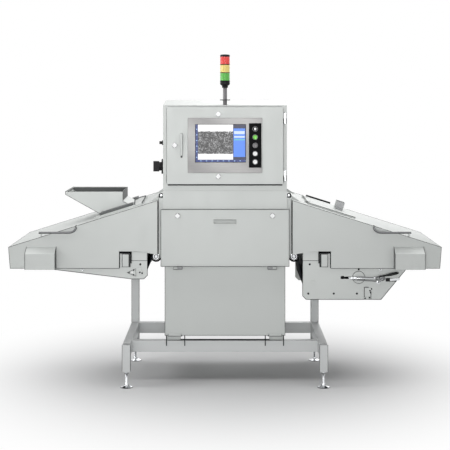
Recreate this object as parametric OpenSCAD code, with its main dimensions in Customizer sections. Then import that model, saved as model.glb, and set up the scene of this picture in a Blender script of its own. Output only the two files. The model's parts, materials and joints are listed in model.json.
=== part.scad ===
// Food x-ray inspection machine: a tower with a shielded tunnel, two lifting hoods over a through
// belt, and an open stand with levelling feet. Millimetres, +X along the belt, -Y the operator's side.
// The origin lies on the floor below the middle of the tower.

/* [Stand] */
// Distance between the left and right leg centres
leg_span_x = 1200; // [1160:10:1240]
// Distance between the front and rear leg centres
leg_span_y = 720; // [680:10:730]
// Side of the square leg tube
leg_side = 50; // [44:1:54]
// Wall of every frame tube
tube_wall = 3; // [2:0.5:4]
// Height of the top of the base beams above the floor
beam_top = 262; // [250:1:272]
// Height of the base beams and rails
beam_h = 70; // [60:1:76]
// Distance of the front rail's centre from the belt's middle
front_rail_y = 230; // [200:5:250]
// Height of the cantilever arms
arm_h = 80; // [70:1:84]
// Height of the top of the cantilever arms
arm_top = 816; // [812:1:820]
// Height of the bottom end of the front legs
leg_foot_gap = 100; // [90:1:120]
// Radius of a levelling foot's pad
pad_r = 38; // [32:1:42]
// Radius of a levelling foot's threaded stem
stem_r = 8; // [6:0.5:10]

/* [Tower] */
// Width of the tunnel housing and the control cabinet
tower_w = 754; // [740:2:760]
// Depth of the tunnel housing
tower_d = 740; // [730:2:742]
// Height of the housing's floor above the ground
tower_base = 739; // [730:1:742]
// Height of the housing's top above the ground
tower_top = 1199; // [1190:1:1204]
// Sheet thickness of the housings
sheet = 3; // [2:0.5:4]
// Width of the product tunnel across the belt
tunnel_w = 600; // [590:2:610]
// Height of the tunnel's ceiling above the ground
tunnel_ceiling = 1060; // [1040:5:1080]
// Width of the lower cabinet
lower_w = 740; // [700:2:746]
// Depth of the lower cabinet
lower_d = 620; // [600:2:630]
// Height of the lower cabinet's floor above the ground
lower_base = 300; // [290:1:310]

/* [Control cabinet] */
// Height of the cabinet's front top edge
cabinet_top = 1719; // [1712:1:1730]
// Rise of the sloping roof from front to back
roof_rise = 30; // [20:1:40]
// Depth of the cabinet
cabinet_d = 380; // [360:2:390]
// Distance from the door's side to the control cabinet's side
door_side = 23; // [21:1:27]
// Height of the door's bottom edge
door_base = 1239; // [1234:1:1244]
// Height of the door's top edge
door_top = 1709; // [1704:1:1712]
// Depth of the door's folded edge
door_t = 20; // [18:0.5:22]
// Width of the visible screen
screen_w = 304; // [296:2:310]
// Height of the visible screen
screen_h = 228; // [222:2:232]
// Radius of a push button's cap
button_r = 13; // [11:0.5:15]
// Distance between neighbouring push buttons
button_pitch = 50; // [46:1:54]

/* [Hoods and hopper] */
// Overall length of the machine
machine_l = 2632; // [2600:4:2640]
// Depth of the hoods
hood_d = 760; // [756:1:764]
// Height of the hoods' lower edge
hood_base = 727; // [724:1:729]
// Height of a hood's outer end above its lower edge
hood_end_h = 129; // [126:1:134]
// Height of a hood's inner end above its lower edge
hood_in_h = 412.4; // [405:0.2:420]
// Gap between a hood's inner end and the housing
hood_gap = 33; // [30:1:36]
// Length of a hatch along the belt
hatch_l = 291; // [280:1:300]
// Depth of a hatch across the belt
hatch_d = 540; // [500:2:560]
// Height of the hopper's rim above the ground
hopper_top = 1178; // [1170:1:1200]
// Width of the hopper across the belt
hopper_d = 350; // [330:2:370]

/* [Belt] */
// Width of the belt
belt_w = 540; // [500:2:550]
// Thickness of the belt
belt_t = 3; // [2:0.5:4]
// Radius of the end rollers
end_roller_r = 60; // [57:0.5:61]
// Distance of an end roller from the machine's end
end_roller_inset = 101; // [91:1:111]
// Height of the end rollers' centres
end_roller_z = 800; // [798:0.5:802]
// Radius of the roller shafts
shaft_r = 10; // [8:0.5:12]

/* [Signal light] */
// Radius of the lens modules
lens_r = 30; // [26:1:34]
// Height of one lens module
lens_h = 50; // [44:1:56]
// Radius of the mast tube
mast_r = 12.5; // [11:0.5:14]
// Height of the light's base above the cabinet's front edge
mast_h = 106; // [90:1:120]

/* [Hidden] */
$fn = 48;
// Overrun of every cut past the face that it opens
over = 1;
// Gap between pieces that move past each other
run_gap = 0.5;
// Gap between seated pieces
seat_gap = 0.3;
// Radial clearance of a shaft or pin in its hole
fit = 0.05;

// Stand
leg_x = leg_span_x / 2;
leg_y = leg_span_y / 2;
beam_base = beam_top - beam_h;
pad_h = 14;
nut_h = 12;
nut_r = 14;
hook_w = 6;
hook_inset = 8;
hook_pitch = 113;
hook_x = [lower_w / 2 - hook_inset, lower_w / 2 - hook_inset - hook_pitch];
hook_drop = 70;
arm_base = arm_top - arm_h;
arm_out = 8;
arm_front = hood_d / 2 + arm_out;
cap_t = 3;

// Tower
tower_x = tower_w / 2;
tower_y = tower_d / 2;
lower_x = lower_w / 2;
lower_foot_inset = 10;
lower_foot_w = 85;
lower_front = -280;
lower_back = lower_front + lower_d;
lower_top = tower_base;
band_h = 112;
band_t = 2;
service_w = 778;
service_t = 20;
service_lift = 1;
service_base = tower_base + service_lift;
service_top = tower_top - band_h - run_gap;
service_y = -tower_y - service_t;
service_hinge_x = 288;
service_hinge_l = 62;
pin_r = 5;
knuckle_r = 8;
service_axis_out = 2;
service_axis_y = service_y - service_axis_out;
service_axis_z = service_base - knuckle_r - run_gap;
service_lock_x = 288;
service_lock_z = 1048;
lock_r = 16;
lock_t = 6;
lock_stem_r = 6;
lock_slot = 3;
cam_t = 3;
cam_l = 24;
pull_w = 134;
pull_h = 22;
pull_z = 1013;
collar_t = 28;
collar_leg = 60;
collar_base = 806;
ear_t = 8;
snub_x = 423;
snub_z = 790;
snub_r = 26;

// Control cabinet
cab_front = -tower_y;
cab_back = cab_front + cabinet_d;
cab_rim = 26;
door_front = cab_front - door_t;
door_sheet = 2;
bezel_w = 452;
bezel_h = 334;
bezel_z = 1475;
bezel_t = 4;
screen_x = -27;
screen_z = 1488;
panel_w = 76;
panel_h = 270;
panel_x = 183;
panel_z = 1475;
panel_t = 3;
button_z = panel_z + 2 * button_pitch;
button_stem_r = 8;
button_h = 6;
button_travel = 3;
door_locks = [[-41, 1665], [-306, 1476], [-41, 1287]];
handle_gap = 38;
handle_x = -bezel_w / 2 - handle_gap;
handle_z = 1481;
handle_l = 134;
handle_w = 14;
handle_h = 28;
door_w = tower_w - 2 * door_side;
door_axis_side = 11;
door_axis_out = 12;
door_axis_x = door_w / 2 + door_axis_side;
door_axis_y = cab_front - door_axis_out;
door_hinge_z = [1638, 1291];
door_hinge_h = 62;
mast_y = 24;
lamp_foot_h = 40;
lamp_cap_h = 14;
side_y = -250;
isolator_z = 1340;
isolator_shaft_r = 6;
isolator_w = 64;
isolator_t = 14;
isolator_grip = 52;
key_z = 1486;
key_r = 11;

// Hoods
half_l = machine_l / 2;
end_roller_x = half_l - end_roller_inset;
hood_in = tower_x + hood_gap;
hood_out = half_l;
hood_y = hood_d / 2;
hood_end_z = hood_base + hood_end_h;
hood_in_z = hood_base + hood_in_h;
hood_slope_share = (hood_in_z - hood_end_z) / (hood_out - hood_in);
hood_angle = atan(hood_slope_share);
hood_axis_out = 16;
hood_axis_x = tower_x + hood_axis_out;
hinge_rise = 22.6;
hinge_drop = 11.4;
hood_axis_z = hood_in_z + hinge_rise;
collar_top = hood_in_z + hinge_rise - 2 * seat_gap - hinge_drop;
hood_inner_base = 809;
mouth_lip = 14;
end_lean = 10;
hinge_y = 250;
hinge_t = 14;
hinge_r = 10;
hood_pin_r = 6;
notch_in = 568;
notch_out = 643;
notch_z = 829;
lip_x = 515;
box_inset = 109;
box_l = 181;
box_out = half_l - box_inset;
box_in = box_out - box_l;
box_t = 60;
box_h = 96;
box_rise = 36;
bar_r = 6;
bar_inset = 187;
bar_l = 227;
bar_out = half_l - bar_inset;
bar_in = bar_out - bar_l;
bar_z = 946;
bar_gap = 18;
bar_y = hood_y + bar_gap;
hatch_in = 512;
hatch_rim = 3;
hatch_rim_h = 12;
grip_in = 60;
grip_out = 110;
grip_w = 80;
grip_h = 60;
hopper_rim_in = 639;
hopper_rim_out = 998;
hopper_foot_in = 577;
hopper_foot_out = 764;
hopper_lip_in = 58;
hopper_lip_out = 20;

// Belt and rollers: centre distance along X, height, radius, and the side on which the belt lies
belt_gap = 0.3;
roller_l = 570;
plate_y = 362;
plate_t = 6;
// Height of the lower strand's rollers: distance along X, height and radius
tension_inset = 502;
tension = [half_l - tension_inset, 671, 38];
tail_out = [536, 640, 60];
tail_in = [520, 720, 42];
route = [
    [-end_roller_x, end_roller_z, end_roller_r, 1],
    [end_roller_x, end_roller_z, end_roller_r, 1],
    [tension[0], tension[1], tension[2], 1],
    [tail_out[0], tail_out[1], tail_out[2], 1],
    [snub_x, snub_z, snub_r, -1],
    [-snub_x, snub_z, snub_r, -1],
    [-tail_in[0], tail_in[1], tail_in[2], 1]
];
arc_steps = 24;
bed_top = end_roller_z + end_roller_r;
bed_t = 3;
bed_half = end_roller_x - end_roller_r / 2;
bed_w = roller_l;
cross_inset = 165;
cross_pitch = 320;
cross_x = [bed_half - cross_inset - cross_pitch, bed_half - cross_inset];
cross_h = 30;
cross_w = 30;
lever_inset = 360;
lever_pivot = [half_l - lever_inset, 668];
lever_l = 150;
lever_r = 8;
lever_y = plate_y + plate_t;
lever_gap = 4;
lever_w = 10;
lever_arm = 40;
lever_tilt = 12;
slot_gap = 191;
slot_l = 61;
slot_out = lever_pivot[0] - slot_gap;
slot_in = slot_out - slot_l;
slot_z = 668;
slot_r = 7;
deep_z = 536;
plate_corner = 22;
shallow_z = 661;
plate_in = 472;
plate_end = 25;
plate_out = end_roller_x + plate_end;
plate_rise = 50;
plate_top = end_roller_z + plate_rise;
deep_inset = 366;
deep_out = half_l - deep_inset;
toe_inset = 208;
toe_x = half_l - toe_inset;
gen_w = 260;
gen_d = 220;
gen_h = 200;
port_y = 24;
port_r = 16;
port_l = 40;
det_w = 160;
det_slit = 8;

// Closed rectangular box from a low corner to a high corner
module block(a, b) {
    translate(a) cube(b - a);
}

// Box between half widths, mirrored in X and Y about the middle
module middle_block(w, d, z0, z1) {
    block([-w / 2, -d / 2, z0], [w / 2, d / 2, z1]);
}

// Cylinder along Y from y0 to y1
module along_y(x, z, r, y0, y1) {
    translate([x, y1, z]) rotate([90, 0, 0]) cylinder(r = r, h = y1 - y0);
}

// Cylinder along X from x0 to x1
module along_x(y, z, r, x0, x1) {
    translate([x0, y, z]) rotate([0, 90, 0]) cylinder(r = r, h = x1 - x0);
}

// Outline in X and Z, given depth from y0 to y1
module prism(points, y0, y1) {
    translate([0, y1, 0]) rotate([90, 0, 0]) linear_extrude(height = y1 - y0) polygon(points);
}

// The same shape on both sides of the machine
module both_x() {
    children();
    mirror([1, 0, 0]) children();
}

module both_y() {
    children();
    mirror([0, 1, 0]) children();
}

// Square tube along Y
module tube_y(x, y0, y1, z0, z1, w) {
    difference() {
        block([x - w / 2, y0, z0], [x + w / 2, y1, z1]);
        block([x - w / 2 + tube_wall, y0 - over, z0 + tube_wall],
              [x + w / 2 - tube_wall, y1 + over, z1 - tube_wall]);
    }
}

// Square tube along Z
module tube_z(x, y, z0, z1, w) {
    difference() {
        block([x - w / 2, y - w / 2, z0], [x + w / 2, y + w / 2, z1]);
        block([x - w / 2 + tube_wall, y - w / 2 + tube_wall, z0 - over],
              [x + w / 2 - tube_wall, y + w / 2 - tube_wall, z1 + over]);
    }
}

// Side beams of the base, from the rear legs to the front legs
module base_beams() color("silver") both_x()
    tube_y(leg_x, -leg_y + leg_side / 2, leg_y - leg_side / 2, beam_base, beam_top, leg_side);

// Cross rails between the side beams
module base_rails() color("silver") {
    inner = leg_x - leg_side / 2;
    for (y = [-front_rail_y, leg_y - leg_side / 2])
        difference() {
            block([-inner, y - leg_side / 2, beam_base], [inner, y + leg_side / 2, beam_top]);
            block([-inner - over, y - leg_side / 2 + tube_wall, beam_base + tube_wall],
                  [inner + over, y + leg_side / 2 - tube_wall, beam_top - tube_wall]);
        }
}

// Rear legs, which run up to the arms
module rear_uprights() color("silver") both_x() {
    tube_z(leg_x, leg_y, leg_foot_gap, arm_base, leg_side);
    leg_plug(leg_y);
}

// Short front legs
module front_legs() color("silver") both_x() {
    tube_z(leg_x, -leg_y, leg_foot_gap, beam_top, leg_side);
    leg_plug(-leg_y);
}

// Threaded plug in the lower end of a leg
module leg_plug(y) {
    difference() {
        block([leg_x - leg_side / 2, y - leg_side / 2, leg_foot_gap - cap_t],
              [leg_x + leg_side / 2, y + leg_side / 2, leg_foot_gap]);
        translate([leg_x, y, leg_foot_gap - cap_t - over])
            cylinder(r = stem_r + fit, h = cap_t + 2 * over);
    }
}

// Arms that carry the conveyor from behind
module cantilever_arms() color("silver") both_x() {
    tube_y(leg_x, -arm_front + cap_t, leg_y + leg_side / 2, arm_base, arm_top, leg_side);
    block([leg_x - leg_side / 2, -arm_front, arm_base],
          [leg_x + leg_side / 2, -arm_front + cap_t, arm_top]);
}

module at_feet() {
    for (x = [-leg_x, leg_x], y = [-leg_y, leg_y]) translate([x, y, 0]) children();
}

// Threaded stems with their lock nuts
module foot_stems() color("silver") at_feet() {
    translate([0, 0, pad_h]) cylinder(r = stem_r, h = leg_foot_gap + leg_side - pad_h);
    translate([0, 0, leg_foot_gap - cap_t - nut_h]) cylinder(r = nut_r, h = nut_h, $fn = 6);
}

// Pad with a sloping top round a ball seat
module foot_pads() color("gainsboro") at_feet() rotate_extrude()
    polygon([[0, 0], [pad_r, 0], [pad_r, pad_h / 4], [2 * stem_r, pad_h * 0.8], [2 * stem_r, pad_h],
             [0, pad_h]]);

// Hooks that hold the lower cabinet on the front rail
module rail_hooks() color("darkgray") both_x() for (x = hook_x) {
    y = -front_rail_y - leg_side / 2;
    block([x - hook_w / 2, y - hook_w, lower_base - hook_drop], [x + hook_w / 2, y, lower_base]);
}

// Closed cabinet below the tunnel, on four feet that stand on the rails
module lower_cabinet() color("gainsboro") {
    difference() {
        block([-lower_x, lower_front, lower_base], [lower_x, lower_back, lower_top]);
        block([-lower_x + sheet, lower_front - over, lower_base + sheet],
              [lower_x - sheet, lower_back - sheet, lower_top - sheet]);
    }
    both_x() for (y = [-front_rail_y, lower_back - leg_side / 2])
        block([lower_x - lower_foot_inset - lower_foot_w, y - leg_side / 4, beam_top],
              [lower_x - lower_foot_inset, y + leg_side / 4, lower_base]);
}

module lower_front_panel() color("gainsboro")
    block([-lower_x, lower_front - sheet - seat_gap, lower_base],
          [lower_x, lower_front - seat_gap, lower_top - seat_gap]);

// Housing round the tunnel, open at the front and where the belt runs through
module tunnel_housing() color("gainsboro") difference() {
    middle_block(tower_w, tower_d, tower_base, tower_top);
    block([-tower_x + sheet, -tower_y - over, tower_base + sheet],
          [tower_x - sheet, tower_y - sheet, tower_top - sheet]);
    middle_block(tower_w + 2 * over, tunnel_w, tower_base + collar_leg, tunnel_ceiling);
    port_hole();
}

module port_hole() translate([0, -port_y, tower_top - 2 * sheet]) cylinder(r = port_r + fit, h = 4 * sheet);

// Frames on the housing's sides with the hood pins and the ears of the return rollers
module tunnel_collars() color("silver") both_x() {
    leg_in = tunnel_w / 2;
    difference() {
        block([tower_x, -leg_in - collar_leg, collar_base],
              [tower_x + collar_t, leg_in + collar_leg, collar_top]);
        block([tower_x - over, -leg_in, collar_base - over],
              [tower_x + collar_t + over, leg_in, tunnel_ceiling]);
    }
    both_y() {
        difference() {
            block([tower_x, leg_in, snub_z - 2 * shaft_r],
                  [snub_x + 2 * shaft_r, leg_in + ear_t, collar_base + 2 * shaft_r]);
            along_y(snub_x, snub_z, shaft_r + fit, leg_in - over, leg_in + ear_t + over);
        }
        block([hood_axis_x - hinge_r, hinge_y, collar_top - sheet],
              [hood_axis_x + hinge_r, hinge_y + hinge_t, hood_axis_z]);
        along_y(hood_axis_x, hood_axis_z, hinge_r, hinge_y, hinge_y + hinge_t);
        along_y(hood_axis_x, hood_axis_z, hood_pin_r, hinge_y + hinge_t, hinge_y + 3 * hinge_t);
    }
}

// Bare band across the housing above the service door
module front_band() color("silver")
    block([-tower_x - band_t, -tower_y - band_t, tower_top - band_h],
          [tower_x + band_t, -tower_y, tower_top]);

// Pan with a folded edge, open at the back
module pan(w, z0, z1, y0, depth, t) {
    difference() {
        block([-w / 2, y0, z0], [w / 2, y0 + depth, z1]);
        block([-w / 2 + t, y0 + t, z0 + t], [w / 2 - t, y0 + depth + over, z1 - t]);
    }
}

// Door in front of the tunnel, which folds down
module service_door() color("gainsboro") {
    difference() {
        pan(service_w, service_base, service_top, service_y, service_t - seat_gap, sheet);
        for (x = [-service_lock_x, service_lock_x])
            along_y(x, service_lock_z, lock_stem_r + fit, service_y - over, service_y + sheet + over);
        block([-pull_w / 2, service_y - over, pull_z - pull_h / 2],
              [pull_w / 2, service_y + sheet + over, pull_z + pull_h / 2]);
    }
    pocket();
    both_x() door_knuckles();
}

// Recessed finger pull behind the slot in the service door
module pocket() {
    difference() {
        block([-pull_w / 2 - sheet, service_y + sheet, pull_z - pull_h / 2 - sheet],
              [pull_w / 2 + sheet, service_y + service_t - 1.5 * sheet, pull_z + pull_h / 2 + sheet]);
        block([-pull_w / 2, service_y - over, pull_z - pull_h / 2],
              [pull_w / 2, service_y + service_t - 2 * sheet, pull_z + pull_h / 2]);
    }
}

// Outer knuckle of a service hinge, with a leaf up the door's face
module door_knuckles() {
    x1 = service_hinge_x + service_hinge_l / 2;
    difference() {
        union() {
            along_x(service_axis_y, service_axis_z, knuckle_r, service_hinge_x + run_gap, x1);
            block([service_hinge_x + run_gap, service_y - sheet, service_axis_z],
                  [x1, service_y, service_base + 2 * knuckle_r]);
        }
        along_x(service_axis_y, service_axis_z, pin_r + fit, service_hinge_x - over, x1 + over);
    }
}

// Fixed knuckles with their pins, held by a leaf under the housing's floor
module service_door_hinges() color("silver") both_x() {
    x0 = service_hinge_x - service_hinge_l / 2;
    along_x(service_axis_y, service_axis_z, knuckle_r, x0, service_hinge_x);
    along_x(service_axis_y, service_axis_z, pin_r, x0, service_hinge_x + service_hinge_l / 2);
    block([x0, service_axis_y, tower_base - sheet],
          [service_hinge_x, -tower_y + 4 * knuckle_r, tower_base]);
}

// Quarter-turn lock: a slotted head, its stem through the sheet and a cam behind
module lock(x, z, face, t) color("white") {
    difference() {
        along_y(x, z, lock_r, face - lock_t, face - seat_gap);
        block([x - lock_r / 2, face - lock_t - over, z - lock_slot / 2],
              [x + lock_r / 2, face - lock_t / 2, z + lock_slot / 2]);
    }
    along_y(x, z, lock_stem_r, face - seat_gap, face + t + cam_t);
    block([x - lock_stem_r, face + t + seat_gap, z - lock_stem_r],
          [x + lock_stem_r, face + t + cam_t, z + cam_l]);
}

module service_lock_left() lock(-service_lock_x, service_lock_z, service_y, sheet);
module service_lock_right() lock(service_lock_x, service_lock_z, service_y, sheet);

// Cabinet for the controls, open behind the door, with a sloping roof
module control_cabinet() color("gainsboro") {
    difference() {
        cabinet_form(0);
        cabinet_form(sheet);
        block([-door_w / 2 + cab_rim, cab_front - over, door_base + cab_rim],
              [door_w / 2 - cab_rim, cab_front + sheet + over, door_top - cab_rim]);
        translate([0, cab_front + mast_y, 0]) cylinder(r = mast_r + fit, h = 2 * cabinet_top);
        along_x(side_y, isolator_z, isolator_shaft_r + fit, -tower_x - over, -tower_x + sheet + over);
        along_x(side_y, key_z, key_r + fit, -tower_x - over, -tower_x + sheet + over);
        port_hole();
    }
    for (z = door_hinge_z) cabinet_knuckle(z);
}

module cabinet_form(inset) {
    translate([tower_x - inset, 0, 0]) rotate([90, 0, -90]) linear_extrude(height = tower_w - 2 * inset)
        polygon([[-cab_front - inset, tower_top + inset], [-cab_front - inset, cabinet_top - inset],
                 [-cab_back + inset, cabinet_top + roof_rise - inset],
                 [-cab_back + inset, tower_top + inset]]);
}

// Fixed half of a door hinge, with its pin
module cabinet_knuckle(z) {
    z0 = z - door_hinge_h / 2;
    block([door_axis_x - pin_r, door_axis_y, z0], [door_axis_x + pin_r, cab_front, z]);
    translate([door_axis_x, door_axis_y, z0]) cylinder(r = knuckle_r, h = door_hinge_h / 2);
    translate([door_axis_x, door_axis_y, z0]) cylinder(r = pin_r, h = door_hinge_h);
}

// Cabinet door, with cut-outs for the screen, the panel and the locks
module cabinet_door() color("gainsboro") {
    door_leaf();
    for (z = door_hinge_z) door_knuckle(z);
}

module door_leaf() difference() {
    pan(door_w, door_base, door_top, door_front, door_t - run_gap, door_sheet);
    for (l = door_locks) along_y(l[0], l[1], lock_stem_r + fit, door_front - over,
                                 door_front + door_sheet + over);
    block([screen_x - screen_w / 2, door_front - over, screen_z - screen_h / 2],
          [screen_x + screen_w / 2, door_front + door_sheet + over, screen_z + screen_h / 2]);
    block([panel_x - panel_w / 3, door_front - over, panel_z - panel_h / 2 + sheet],
          [panel_x + panel_w / 3, door_front + door_sheet + over, panel_z + panel_h / 2 - sheet]);
}

// Moving half of a door hinge
module door_knuckle(z) difference() {
    union() {
        translate([door_axis_x, door_axis_y, z + run_gap]) cylinder(r = knuckle_r, h = door_hinge_h / 2);
        block([door_w / 2, door_axis_y - pin_r, z + run_gap],
              [door_axis_x, door_axis_y + sheet - pin_r, z + run_gap + door_hinge_h / 2]);
    }
    translate([door_axis_x, door_axis_y, z - over]) cylinder(r = pin_r + fit, h = door_hinge_h);
}

// Upright handle beside the screen
module door_pull() color("silver") {
    y = door_front - handle_h;
    block([handle_x - handle_w / 2, y, handle_z - handle_l / 2],
          [handle_x + handle_w / 2, y + door_sheet * 2, handle_z + handle_l / 2]);
    for (z = [handle_z - handle_l / 2, handle_z + handle_l / 2 - handle_w])
        block([handle_x - handle_w / 2, y, z],
              [handle_x + handle_w / 2, door_front - seat_gap, z + handle_w]);
}

module door_lock_top() lock(door_locks[0][0], door_locks[0][1], door_front, door_sheet);
module door_lock_side() lock(door_locks[1][0], door_locks[1][1], door_front, door_sheet);
module door_lock_bottom() lock(door_locks[2][0], door_locks[2][1], door_front, door_sheet);

// Frame round the screen and the button panel
module screen_bezel() color("silver") difference() {
    block([-bezel_w / 2, door_front - bezel_t, bezel_z - bezel_h / 2],
          [bezel_w / 2, door_front, bezel_z + bezel_h / 2]);
    block([screen_x - screen_w / 2, door_front - bezel_t - over, screen_z - screen_h / 2],
          [screen_x + screen_w / 2, door_front + over, screen_z + screen_h / 2]);
    block([panel_x - panel_w / 2, door_front - bezel_t - over, panel_z - panel_h / 2],
          [panel_x + panel_w / 2, door_front + over, panel_z + panel_h / 2]);
}

// Touch screen, set in the bezel and the door's cut-out
module screen() color("royalblue")
    block([screen_x - screen_w / 2 + seat_gap, door_front - bezel_t / 2,
           screen_z - screen_h / 2 + seat_gap],
          [screen_x + screen_w / 2 - seat_gap, door_front + door_sheet * 3,
           screen_z + screen_h / 2 - seat_gap]);

// Black panel with a hole for each push button
module button_panel() color("black") difference() {
    block([panel_x - panel_w / 2 + seat_gap, door_front - panel_t, panel_z - panel_h / 2 + seat_gap],
          [panel_x + panel_w / 2 - seat_gap, door_front, panel_z + panel_h / 2 - seat_gap]);
    for (i = [0:4]) along_y(panel_x, button_z - i * button_pitch, button_stem_r + fit,
                            door_front - panel_t - over, door_front + over);
}

// Cap and stem of one push button
module button(i) {
    z = button_z - i * button_pitch;
    face = door_front - panel_t;
    along_y(panel_x, z, button_r, face - button_travel - button_h, face - button_travel - seat_gap);
    along_y(panel_x, z, button_stem_r, face - button_travel - seat_gap, door_front + button_h);
}

module button_1() color("white") button(0);
module button_2() color("limegreen") button(1);
module button_3() color("gray") button(2);
module button_4() color("white") button(3);
module button_5() color("white") button(4);

// Plate behind the isolator's knob
module isolator_base() color("dimgray") difference() {
    block([-tower_x - isolator_t, side_y - isolator_w / 2, isolator_z - isolator_w * 0.7],
          [-tower_x, side_y + isolator_w / 2, isolator_z + isolator_w * 0.7]);
    along_x(side_y, isolator_z, isolator_shaft_r + fit, -tower_x - isolator_t - over, -tower_x + over);
}

// Knob with a grip across it and a shaft into the cabinet
module isolator_knob() color("black") {
    x = -tower_x - isolator_t - run_gap;
    along_x(side_y, isolator_z, isolator_w * 0.42, x - isolator_w / 4, x);
    block([x - isolator_grip, side_y - isolator_shaft_r, isolator_z - isolator_w / 2],
          [x - isolator_w / 4, side_y + isolator_shaft_r, isolator_z + isolator_w / 2]);
    along_x(side_y, isolator_z, isolator_shaft_r, x, -tower_x + 4 * sheet);
}

module key_switch() color("black") {
    along_x(side_y, key_z, key_r * 1.3, -tower_x - key_r * 1.2, -tower_x - run_gap);
    along_x(side_y, key_z, key_r, -tower_x - run_gap, -tower_x + 5 * sheet);
}

// Mast tube with a round flange on the roof's front edge
module light_mast() color("silver") translate([0, cab_front + mast_y, 0]) {
    translate([0, 0, cabinet_top - mast_r * 2]) cylinder(r = mast_r, h = mast_h + mast_r * 2);
    translate([0, 0, cabinet_top + roof_rise]) cylinder(r = lens_r, h = sheet);
}

module light_part(z, h, r)
    translate([0, cab_front + mast_y, cabinet_top + mast_h + z]) cylinder(r = r, h = h);

module light_base() color("black") light_part(0, lamp_foot_h, lens_r);
module lens_green() color("lime") light_part(lamp_foot_h, lens_h, lens_r);
module lens_amber() color("khaki") light_part(lamp_foot_h + lens_h, lens_h, lens_r);
module lens_red() color("tomato") light_part(lamp_foot_h + 2 * lens_h, lens_h, lens_r);
module light_cap() color("black") light_part(lamp_foot_h + 3 * lens_h, lamp_cap_h, lens_r);

// Side outline of a hood, with a step where the arm passes
hood_outline = [
    [hood_in, hood_inner_base], [lip_x, notch_z], [notch_out, notch_z], [notch_out, hood_base],
    [hood_out - end_lean, hood_base], [hood_out, hood_end_z], [hood_in, hood_in_z]
];

// Places its children on the outfeed hood's roof, with -X pointing uphill
module on_roof() {
    translate([hood_out, 0, hood_end_z]) rotate([0, hood_angle, 0]) children();
}

// Distance up the roof for a distance from the machine's middle
function up_roof(x) = (hood_out - x) / cos(hood_angle);

// Hood of folded sheet, with a hole in its roof, on the outfeed side
module hood(x0, x1, d) {
    difference() {
        union() {
            difference() {
                prism(hood_outline, -hood_y, hood_y);
                prism([[hood_in - over, hood_base - over], [hood_out - end_lean - sheet, hood_base - over],
                       [hood_out - sheet, hood_end_z - sheet], [hood_in - over, hood_in_z - sheet]],
                      -hood_y + sheet, hood_y - sheet);
            }
            both_y() roller_box();
        }
        block([x0, -d / 2, hood_end_z], [x1, d / 2, hood_in_z + 2 * hatch_rim_h]);
    }
    both_y() difference() {
        union() {
            prism([[hood_axis_x, hood_axis_z + hinge_r],
                   [hood_in + 6 * hinge_r, hood_in_z - 6 * hinge_r * hood_slope_share],
                   [hood_in, hood_in_z - hinge_r],
                   [hood_in, collar_top + seat_gap],
                   [hood_axis_x, hood_axis_z - hinge_r]],
                  hinge_y + hinge_t + run_gap, hinge_y + 2 * hinge_t);
            along_y(hood_axis_x, hood_axis_z, hinge_r, hinge_y + hinge_t + run_gap, hinge_y + 2 * hinge_t);
        }
        along_y(hood_axis_x, hood_axis_z, hood_pin_r + fit, hinge_y, hinge_y + 3 * hinge_t);
    }
}

// Raised box over an end roller's bearing, with a sloping top
module roller_box() {
    module profile(inset) rotate([90, 0, 90]) translate([0, 0, box_in + inset])
        linear_extrude(height = box_out - box_in - 2 * inset)
        polygon([[hood_y - sheet, hood_base - (inset > 0 ? over : 0)],
                 [hood_y + box_t - inset, hood_base - (inset > 0 ? over : 0)],
                 [hood_y + box_t - inset, hood_base + box_h - inset],
                 [hood_y - sheet, hood_base + box_h + box_rise - inset]]);
    difference() {
        profile(0);
        profile(sheet);
    }
}

module outfeed_hood() color("gainsboro") {
    difference() {
        hood(hatch_in + 5 * hatch_rim, hatch_in + hatch_l - 5 * hatch_rim, hatch_d - 10 * hatch_rim);
        block([hood_out - hood_end_h / 2, -tunnel_w / 2, hood_base - over],
              [hood_out + over, tunnel_w / 2, hood_end_z - mouth_lip]);
    }
    u0 = up_roof(hatch_in + hatch_l - 2 * hatch_rim);
    u1 = up_roof(hatch_in + 2 * hatch_rim);
    on_roof() difference() {
        block([-u1, -hatch_d / 2 + 2 * hatch_rim, -sheet / 2],
              [-u0, hatch_d / 2 - 2 * hatch_rim, hatch_rim_h / 2]);
        block([-u1 + hatch_rim, -hatch_d / 2 + 3 * hatch_rim, -sheet],
              [-u0 - hatch_rim, hatch_d / 2 - 3 * hatch_rim, hatch_rim_h]);
    }
    on_roof() both_y() hatch_ear(u1);
}

// Ear with a pin for the hatch's hinge
module hatch_ear(u1) {
    y = hatch_d / 4;
    block([-u1 - 6 * hatch_rim, y, -sheet / 2], [-u1 - 4 * hatch_rim, y + 4 * hatch_rim, hatch_rim_h]);
    translate([-u1 - 5 * hatch_rim, y + 12 * hatch_rim, hatch_rim_h]) rotate([90, 0, 0])
        cylinder(r = hatch_rim, h = 12 * hatch_rim);
}

// Hatch lid with a box-shaped grip and two knuckles
module hatch_lid() color("silver") {
    lid_tray();
    on_roof() lid_fittings();
}

// Shallow tray, upside down, over a hatch's rim
module lid_tray() on_roof() {
    u0 = up_roof(hatch_in + hatch_l);
    u1 = up_roof(hatch_in);
    difference() {
        block([-u1, -hatch_d / 2, seat_gap], [-u0, hatch_d / 2, hatch_rim_h / 2 + seat_gap + sheet]);
        block([-u1 + hatch_rim, -hatch_d / 2 + hatch_rim, seat_gap - over],
              [-u0 - hatch_rim, hatch_d / 2 - hatch_rim, hatch_rim_h / 2 + seat_gap]);
    }
}

module lid_fittings() {
    u0 = up_roof(hatch_in + hatch_l);
    difference() {
        block([-u0 - grip_out, -grip_w / 2, hatch_rim_h / 2 + sheet], [-u0 - grip_in, grip_w / 2, grip_h]);
        block([-u0 - grip_out + sheet, -grip_w / 2 - over, hatch_rim_h],
              [-u0 - grip_in - sheet, grip_w / 2 + over, grip_h - sheet]);
    }
    both_y() lid_knuckle(up_roof(hatch_in + 2 * hatch_rim));
}

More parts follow.
